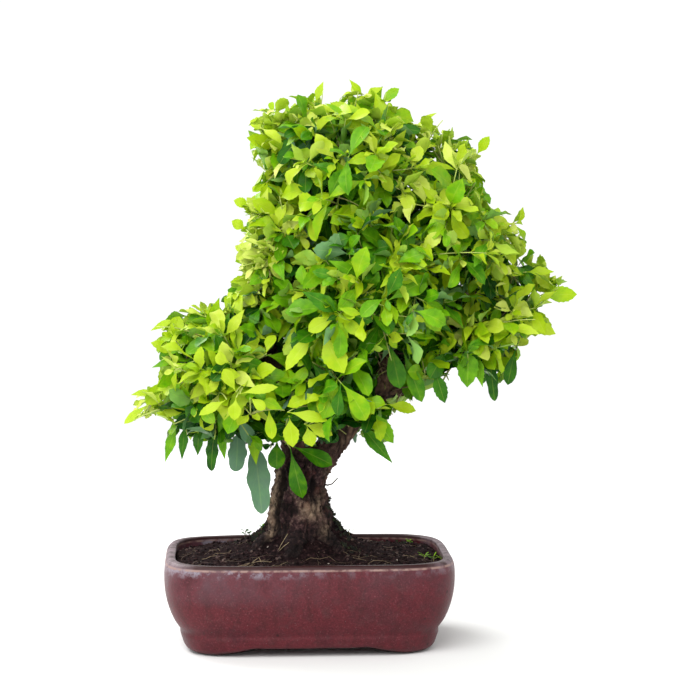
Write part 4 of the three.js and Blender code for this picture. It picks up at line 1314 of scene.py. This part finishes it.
# More of them as they appear from the front: depth in mm, stalk and point as x and z in mm on the plane
# through the pot's middle, width in mm, age and blank.
FRONT_LEAVES = [
    (-30, (-164, 269), (-189, 267), 8, 0.3, "pointed"),
    (-34, (-138, 310), (-167, 322), 14, 0.35, "toothed"),
    (-30, (-140, 303), (-167, 297), 8, 0.62, "pointed"),
    (-60, (-124, 250), (-162, 246), 10, 0.35, "toothed"),
    (-40, (236, 396), (266, 397), 11, 0.35, "pointed"),
    (-60, (225, 346), (270, 331), 15, 0.32, "toothed"),
    (-80, (150, 314), (131, 282), 18, 0.8, "spoon"),
    (-78, (88, 322), (99, 270), 20, 0.84, "spoon"),
    (-72, (85, 254), (117, 248), 14, 0.46, "toothed"),
    (-128, (-25, 248), (-46, 259), 12, 0.5, "spoon"),
    (-120, (-20, 242), (-17, 208), 17, 0.34, "toothed"),
    (-118, (-4, 233), (27, 222), 15, 0.3, "toothed"),
    (-116, (-1, 231), (4, 209), 15, 0.3, "toothed"),
    (-120, (-42, 251), (-39, 217), 12, 0.42, "spoon"),
    (-126, (-22, 246), (22, 238), 13, 0.4, "toothed"),
    (-136, (-77, 268), (-90, 292), 13, 0.28, "spoon"),
    (-136, (-73, 266), (-33, 276), 11, 0.3, "toothed"),
    (-136, (-87, 260), (-117, 244), 11, 0.34, "toothed"),
    (-138, (-77, 262), (-80, 238), 14, 0.28, "toothed"),
    (-130, (-84, 300), (-98, 306), 15, 0.3, "spoon"),
    (-134, (-62, 262), (-46, 250), 11, 0.36, "spoon"),
]
STALK_FROM, STALK_TO = 0.9 * MM, 0.55 * MM  # radius of the thin stem at its two ends
LOOKS = Vector((-0.25, -1, 0.45))  # where their upper sides look
TOUCHING = 0.3 * MM
POINT_FORWARD = 8  # how much nearer than its stalk a leaf's point is, in mm


def placed_leaf(bundle, base, end, width, age, blank, towards, luck):
    """Adds a leaf from its stalk at base to its point at end, with its upper side towards a direction."""
    bend = {
        "fold": luck.uniform(0.1, 0.3), "curl": luck.uniform(0.1, 0.5), "twist": luck.uniform(-0.25, 0.25),
        "wave": luck.uniform(0.03, 0.12), "phase": luck.uniform(0, 6),
    }
    along = end - base
    points = bent_leaf(BLANKS[blank][1], base, along, towards, along.length, width, **bend)
    bundle["leaves"].append((blank, points, age, luck.uniform(-0.4, 0.4)))


def seen_at(x, z, y):
    """The frame's place at a depth y in mm that appears at x and z in mm from the front."""
    reach = (y - VIEWER.y) / -VIEWER.y
    return at(VIEWER.x + (x - VIEWER.x) * reach, y, VIEWER.z + (z - VIEWER.z) * reach)


luck = random.Random("single leaves")
single = new_foliage()
placed = [(at(*stalk), at(*point), *rest) for stalk, point, *rest in SINGLE_LEAVES]
for depth, stalk, point, width, age, blank in FRONT_LEAVES:
    base, end = seen_at(*stalk, depth), seen_at(*point, depth - POINT_FORWARD)
    placed.append((base, end, width, age, blank, False))
for base, end, width, age, blank, shows_back in placed:
    on_wood = wood_tree.find_nearest(base)
    nearest = min([on_wood[0], *carriers], key=lambda spot: (spot - base).length)
    if (nearest - base).length > TOUCHING:
        middle = (nearest + base) / 2 + UP * 0.15 * (nearest - base).length
        line = curve_through(nearest, middle, base, 5)
        stem(single["stems"], line, STALK_FROM, STALK_TO, age, age * 0.5)
    towards = LOOKS * (-1 if shows_back else 1)
    placed_leaf(single, base, end, width * MM, age, blank, towards, luck)
foliage_piece("single_leaves", single)

# %% [markdown]
# ## What lies on the soil
# Seen close, the top of the soil is a litter: crumbs of peat, chips of bark, a few pale stones, dry root
# fibres, and black-green moss round the foot of the trunk. A rough texture alone would leave the edge of
# the mound smooth, so the crumbs are real lumps. Each is an icosphere of twenty faces, squashed, turned
# and half sunk.

# %% Places on the soil
soil_tree = surface_of(bpy.data.objects["soil_bed"].data)
bark_tree = surface_of(bpy.data.objects["trunk_and_limbs"].data)
SKY = 300  # a height over the soil from which places are looked for, in mm
FROM_WALL = 2  # how far loose things keep from the pot's wall, in mm
IN_CORNERS = 0.93  # how far they reach into its corners: 1 would be all the way


def on_soil(x, y):
    """The place on the soil under a point of the plan in mm."""
    return soil_tree.ray_cast(at(x, y, SKY), -UP)[0]


def soil_spot(luck):
    """A random point of the plan inside the pot, in mm."""
    while True:
        u, v = luck.uniform(-1, 1), luck.uniform(-1, 1)
        if outline_sum(u, v) < IN_CORNERS:
            return u * (POT_WIDTH / 2 - POT_WALL - FROM_WALL), v * (POT_DEPTH / 2 - POT_WALL - FROM_WALL)


# %% Many small copies, and their finish
def blank_points(bm, name):
    """A small blank as a mesh, and its points."""
    points = np.array([vert.co for vert in bm.verts])
    return mesh_of(bm, name, smooth=False), points


def copies_mesh(name, copies):
    """One mesh of many copies. Each copy gives its blank, its own points and its finish."""
    bm = bmesh.new()
    for blank, _, _ in copies:
        bm.from_mesh(blank)
    mesh = mesh_of(bm, name, smooth=False)
    mesh.vertices.foreach_set("co", np.concatenate([points for _, points, _ in copies]).ravel())
    finishes = [finish for blank, _, finish in copies for _ in blank.polygons]
    mesh.polygons.foreach_set("material_index", finishes)
    mesh.update()
    return mesh


def mottled(name, size, detail, shades, roughness):
    """A dull material whose colour wanders through shades over lumps of a size in mm."""
    made, tree, here = blank_material(name)
    grain = add(tree, "TexNoise", {"Vector": here, "Scale": per_mm(size), "Detail": detail})
    tone = add(tree, "ValToRGB", {0: grain}, stops=shades)
    look = {"Base Color": tone, "Roughness": roughness}
    add(tree, "OutputMaterial", {"Surface": add(tree, "BsdfPrincipled", look)})
    return made


chips = mottled("dry_bark_chips", 3, 4, [(0.35, "#2E2120"), (0.55, "#4A3732"), (0.75, "#735F52")], 0.9)
grit = mottled("pale_pumice_grit", 1.2, 3, [(0.35, "#8E8378"), (0.7, "#CFC5B8")], 0.85)
moss = mottled("damp_cushion_moss", 5, 4, [(0.35, "#0D120A"), (0.54, "#181E10"), (0.72, "#435322")], 0.8)
print("finishes for chips, grit and moss")

# %% Crumbs, chips and stones
CRUMBS = 1500
MOUND_CRUMBS = 520
MOUND_RING = (22, 64)  # they lie between these distances from the mound's middle, in mm
CHIP_SHARE = 0.2
# Pale stones: place on the plan and size in mm.
STONES = [
    (-44, -20, 1.5), (19, -62, 1.3), (34, -76, 1.4), (-96, -40, 1.0), (92, -52, 1.1), (108, 86, 2.2),
    (104, 84, 1.6), (114, 82, 1.4), (70, -84, 1.2), (-30, -84, 1.0),
]
PEAT_CRUMB, CHIP, STONE = 0, 1, 2  # the order of their materials
LUMPS = []
luck = random.Random("crumbs")
for number in range(4):
    lump_bm = bmesh.new()
    bmesh.ops.create_icosphere(lump_bm, subdivisions=1, radius=1)
    for vert in lump_bm.verts:
        vert.co *= luck.uniform(0.75, 1.15)
    LUMPS.append(blank_points(lump_bm, f"lump_{number}"))


def crumb(place, size, finish, luck):
    """One lump of a size in metres, flattened, turned at random and half sunk."""
    blank, points = luck.choice(LUMPS)
    flat = np.array([luck.uniform(0.8, 1.3), luck.uniform(0.6, 1), luck.uniform(0.45, 0.8)])
    axis = jitter(luck, 1)
    turn = np.array(Quaternion(axis, luck.uniform(0, 3)).to_matrix())
    return blank, (points * flat) @ turn.T * size + np.array(place + UP * size * 0.3), finish


lumps = []
for number in range(CRUMBS + MOUND_CRUMBS):
    x, y = soil_spot(luck)
    if number >= CRUMBS:
        turn, away = luck.uniform(0, 2 * math.pi), luck.uniform(*MOUND_RING)
        x, y = MOUND["centre"][0] + away * math.cos(turn), MOUND["centre"][1] + away * math.sin(turn)
    size = (0.6 + 2.0 * luck.random() ** 3) * MM
    finish = CHIP if luck.random() < CHIP_SHARE else PEAT_CRUMB
    lumps.append(crumb(on_soil(x, y), size, finish, luck))
lumps += [crumb(on_soil(x, y), size * MM, STONE, luck) for x, y, size in STONES]
piece("soil_crumbs", copies_mesh("soil_crumbs", lumps), [peat, chips, grit])
print("crumbs and stones", len(lumps))

# %% [markdown]
# ### Fibres and moss
# Dry roots and straw are thin tubes that wander over the crumbs. Moss is a crowd of tiny pointed blades,
# each a cone with three sides, which stand away from the soil or the bark that they grow on.

# %% Fibres
FIBRES = 110
FIBRE_STEP = (2.5, 6.5)
FIBRE_EDGE = (POT_WIDTH / 2 - POT_WALL - 4, POT_DEPTH / 2 - POT_WALL - 4)
LITTER_TOP = 103 * MM  # no loose fibre lies higher on the mound
# Longer fibres that stand out: thickness in mm, age, and points in mm over the pot's base.
LONG_FIBRES = [
    (0.36, 1.0, [(-34, -30, 99), (-30, -34, 108), (-23, -36, 120)]),
    (0.36, 1.0, [(-34, -32, 99), (-28, -36, 106), (-22, -38, 111)]),
    (0.32, 0.9, [(-62, -60, 93), (-58, -64, 97), (-54, -66, 100), (-52, -72, 96)]),
    (0.26, 0.6, [(-8, -56, 93), (0, -60, 98), (10, -62, 97), (20, -60, 99), (26, -64, 95)]),
    (1.15, 0.0, [(12, 0, 170), (21, -3, 167), (26, -4, 168.5), (32, -5, 175)]),
    (0.3, 0.7, [(-78, -92, 95), (-70, -97, 97.5), (-66, -100, 98)]),
    (0.26, 0.6, [(60, -70, 93), (66, -74, 97), (76, -72, 96), (84, -76, 94)]),
]
luck = random.Random("fibres")
fibres = new_foliage()
for _ in range(FIBRES):
    x, y = soil_spot(luck)
    heading, line = luck.uniform(0, 2 * math.pi), []
    for step in range(luck.randint(4, 8)):
        place = on_soil(x, y)
        if not place or place.z > LITTER_TOP:
            break
        line.append(place + UP * luck.uniform(0.2, 1.6) * MM)
        heading += luck.uniform(-0.8, 0.8)
        reach = luck.uniform(*FIBRE_STEP)
        x, y = x + reach * math.cos(heading), y + reach * math.sin(heading)
        if abs(x) > FIBRE_EDGE[0] or abs(y) > FIBRE_EDGE[1]:
            break
    if len(line) > 2:
        thick = luck.uniform(0.13, 0.27) * MM
        dryness = luck.random() ** 2
        stem(fibres["stems"], line, thick, thick * 0.7, dryness, dryness)
for thick, age, points in LONG_FIBRES:
    stem(fibres["stems"], [at(*point) for point in points], thick * MM, thick * 0.6 * MM, age, age)

straw, tree, here = blank_material("dry_root_and_straw")
age = add(tree, "Attribute", out="Fac", attribute_name="age")
tone = add(tree, "ValToRGB", {0: age}, stops=[(0.0, "#3E2D25"), (0.55, "#6F5B43"), (1, "#B7A27C")])
streak = add(tree, "TexNoise", {"Vector": here, "Scale": per_mm(2), "Detail": 3})
streak = add(tree, "MapRange", {0: streak, 1: 0.4, 2: 0.65, 3: 0.0, 4: 0.5})
tone = add(tree, "Mix", {0: streak, 6: tone, 7: "#5B4836"}, **COLOUR)
look = {"Base Color": tone, "Roughness": 0.7}
add(tree, "OutputMaterial", {"Surface": add(tree, "BsdfPrincipled", look)})
fibre_bm = fibres["stems"]
bmesh.ops.recalc_face_normals(fibre_bm, faces=fibre_bm.faces[:])
print("fibre faces", len(fibre_bm.faces))
piece("soil_fibres", mesh_of(fibre_bm, "soil_fibres"), [straw])

# %% Moss
BLADES = 10  # in a tuft
# Where moss grows: centre and half size of a patch in mm, and its number of tufts.
MOSS_PATCHES = [
    ((40, 14, 122), (14, 16, 16), 70), ((24, 6, 142), (6, 14, 16), 40),
    ((-52, 14, 112), (14, 14, 10), 45), ((112, 82, 94), (12, 8, 6), 26),
    ((-70, 66, 94), (12, 12, 6), 16), ((44, -20, 104), (16, 16, 10), 26),
    ((-20, 62, 108), (34, 10, 14), 40),
]
blade_bm = bmesh.new()
bmesh.ops.create_cone(blade_bm, cap_ends=True, segments=3, radius1=0.36 * MM, radius2=0.08 * MM, depth=1)
blade, blade_points = blank_points(blade_bm, "moss_blade")
luck = random.Random("moss")
blades = []
for centre, half_size, tufts in MOSS_PATCHES:
    for _ in range(tufts):
        guess = at(*[c + luck.gauss(0, 0.5) * h for c, h in zip(centre, half_size)])
        ground, on_bark = soil_tree.find_nearest(guess), bark_tree.find_nearest(guess)
        place, normal = (ground if ground[3] < on_bark[3] else on_bark)[:2]
        for _ in range(BLADES):
            tall = luck.uniform(1.2, 3.4) * MM
            way = (normal + UP * 0.4 + jitter(luck, 0.9)).normalized()
            turn = np.array(UP.rotation_difference(way).to_matrix())
            foot = place + way * tall * 0.3 + jitter(luck, 1.3) * MM
            blades.append((blade, (blade_points * (1, 1, tall)) @ turn.T + np.array(foot), 0))
piece("soil_moss", copies_mesh("soil_moss", blades), [moss])
print("moss blades", len(blades))

# %% [markdown]
# ### Weeds
# Eight small plants have come up by themselves: three yellow-green ones near the right corner, a
# grass-like sprig at the foot of the mound, two dark seedlings behind on the left, and single ones left of
# the trunk and behind on the right. They are made of the same leaves and stems as the tree.

# %% Weeds
# Place on the plan and height in mm, number of leaves, leaf length and width in mm, and age.
WEEDS = [
    (124, -22, 4, 6, 9, 1.5, 0.56), (134, -26, 5, 5, 9, 1.5, 0.62), (142, -22, 3, 5, 7, 1.3, 0.5),
    (46, 14, 7, 4, 8, 1.4, 0.7), (-68, 70, 11, 6, 6, 4.2, 0.85), (-62, 66, 6, 4, 5, 3.6, 0.8),
    (-50, 22, 5, 4, 5, 2.4, 0.75), (118, 80, 5, 5, 5, 2.6, 0.6),
]
luck = random.Random("weeds")
weeds = new_foliage()
for x, y, tall, leaves, length, width, age in WEEDS:
    foot = on_soil(x, y)
    top = foot + Vector((luck.uniform(-0.3, 0.3), luck.uniform(-0.3, 0.3), 1)) * tall * MM
    line = curve_through(foot - UP * MM, (foot + top) / 2, top, 3)
    stem(weeds["stems"], line, 0.5 * MM, 0.3 * MM, age, age)
    for number in range(leaves):
        base = on_line(line, 0.45 + 0.55 * number / leaves)[0]
        turn = number * GOLDEN_ANGLE
        way = Vector((math.cos(turn), math.sin(turn), luck.uniform(0.3, 1.1))).normalized()
        end = base + way * length * luck.uniform(0.7, 1.1) * MM
        placed_leaf(weeds, base, end, width * MM, age, "spoon", UP + way * 0.1, luck)
foliage_piece("soil_weeds", weeds)
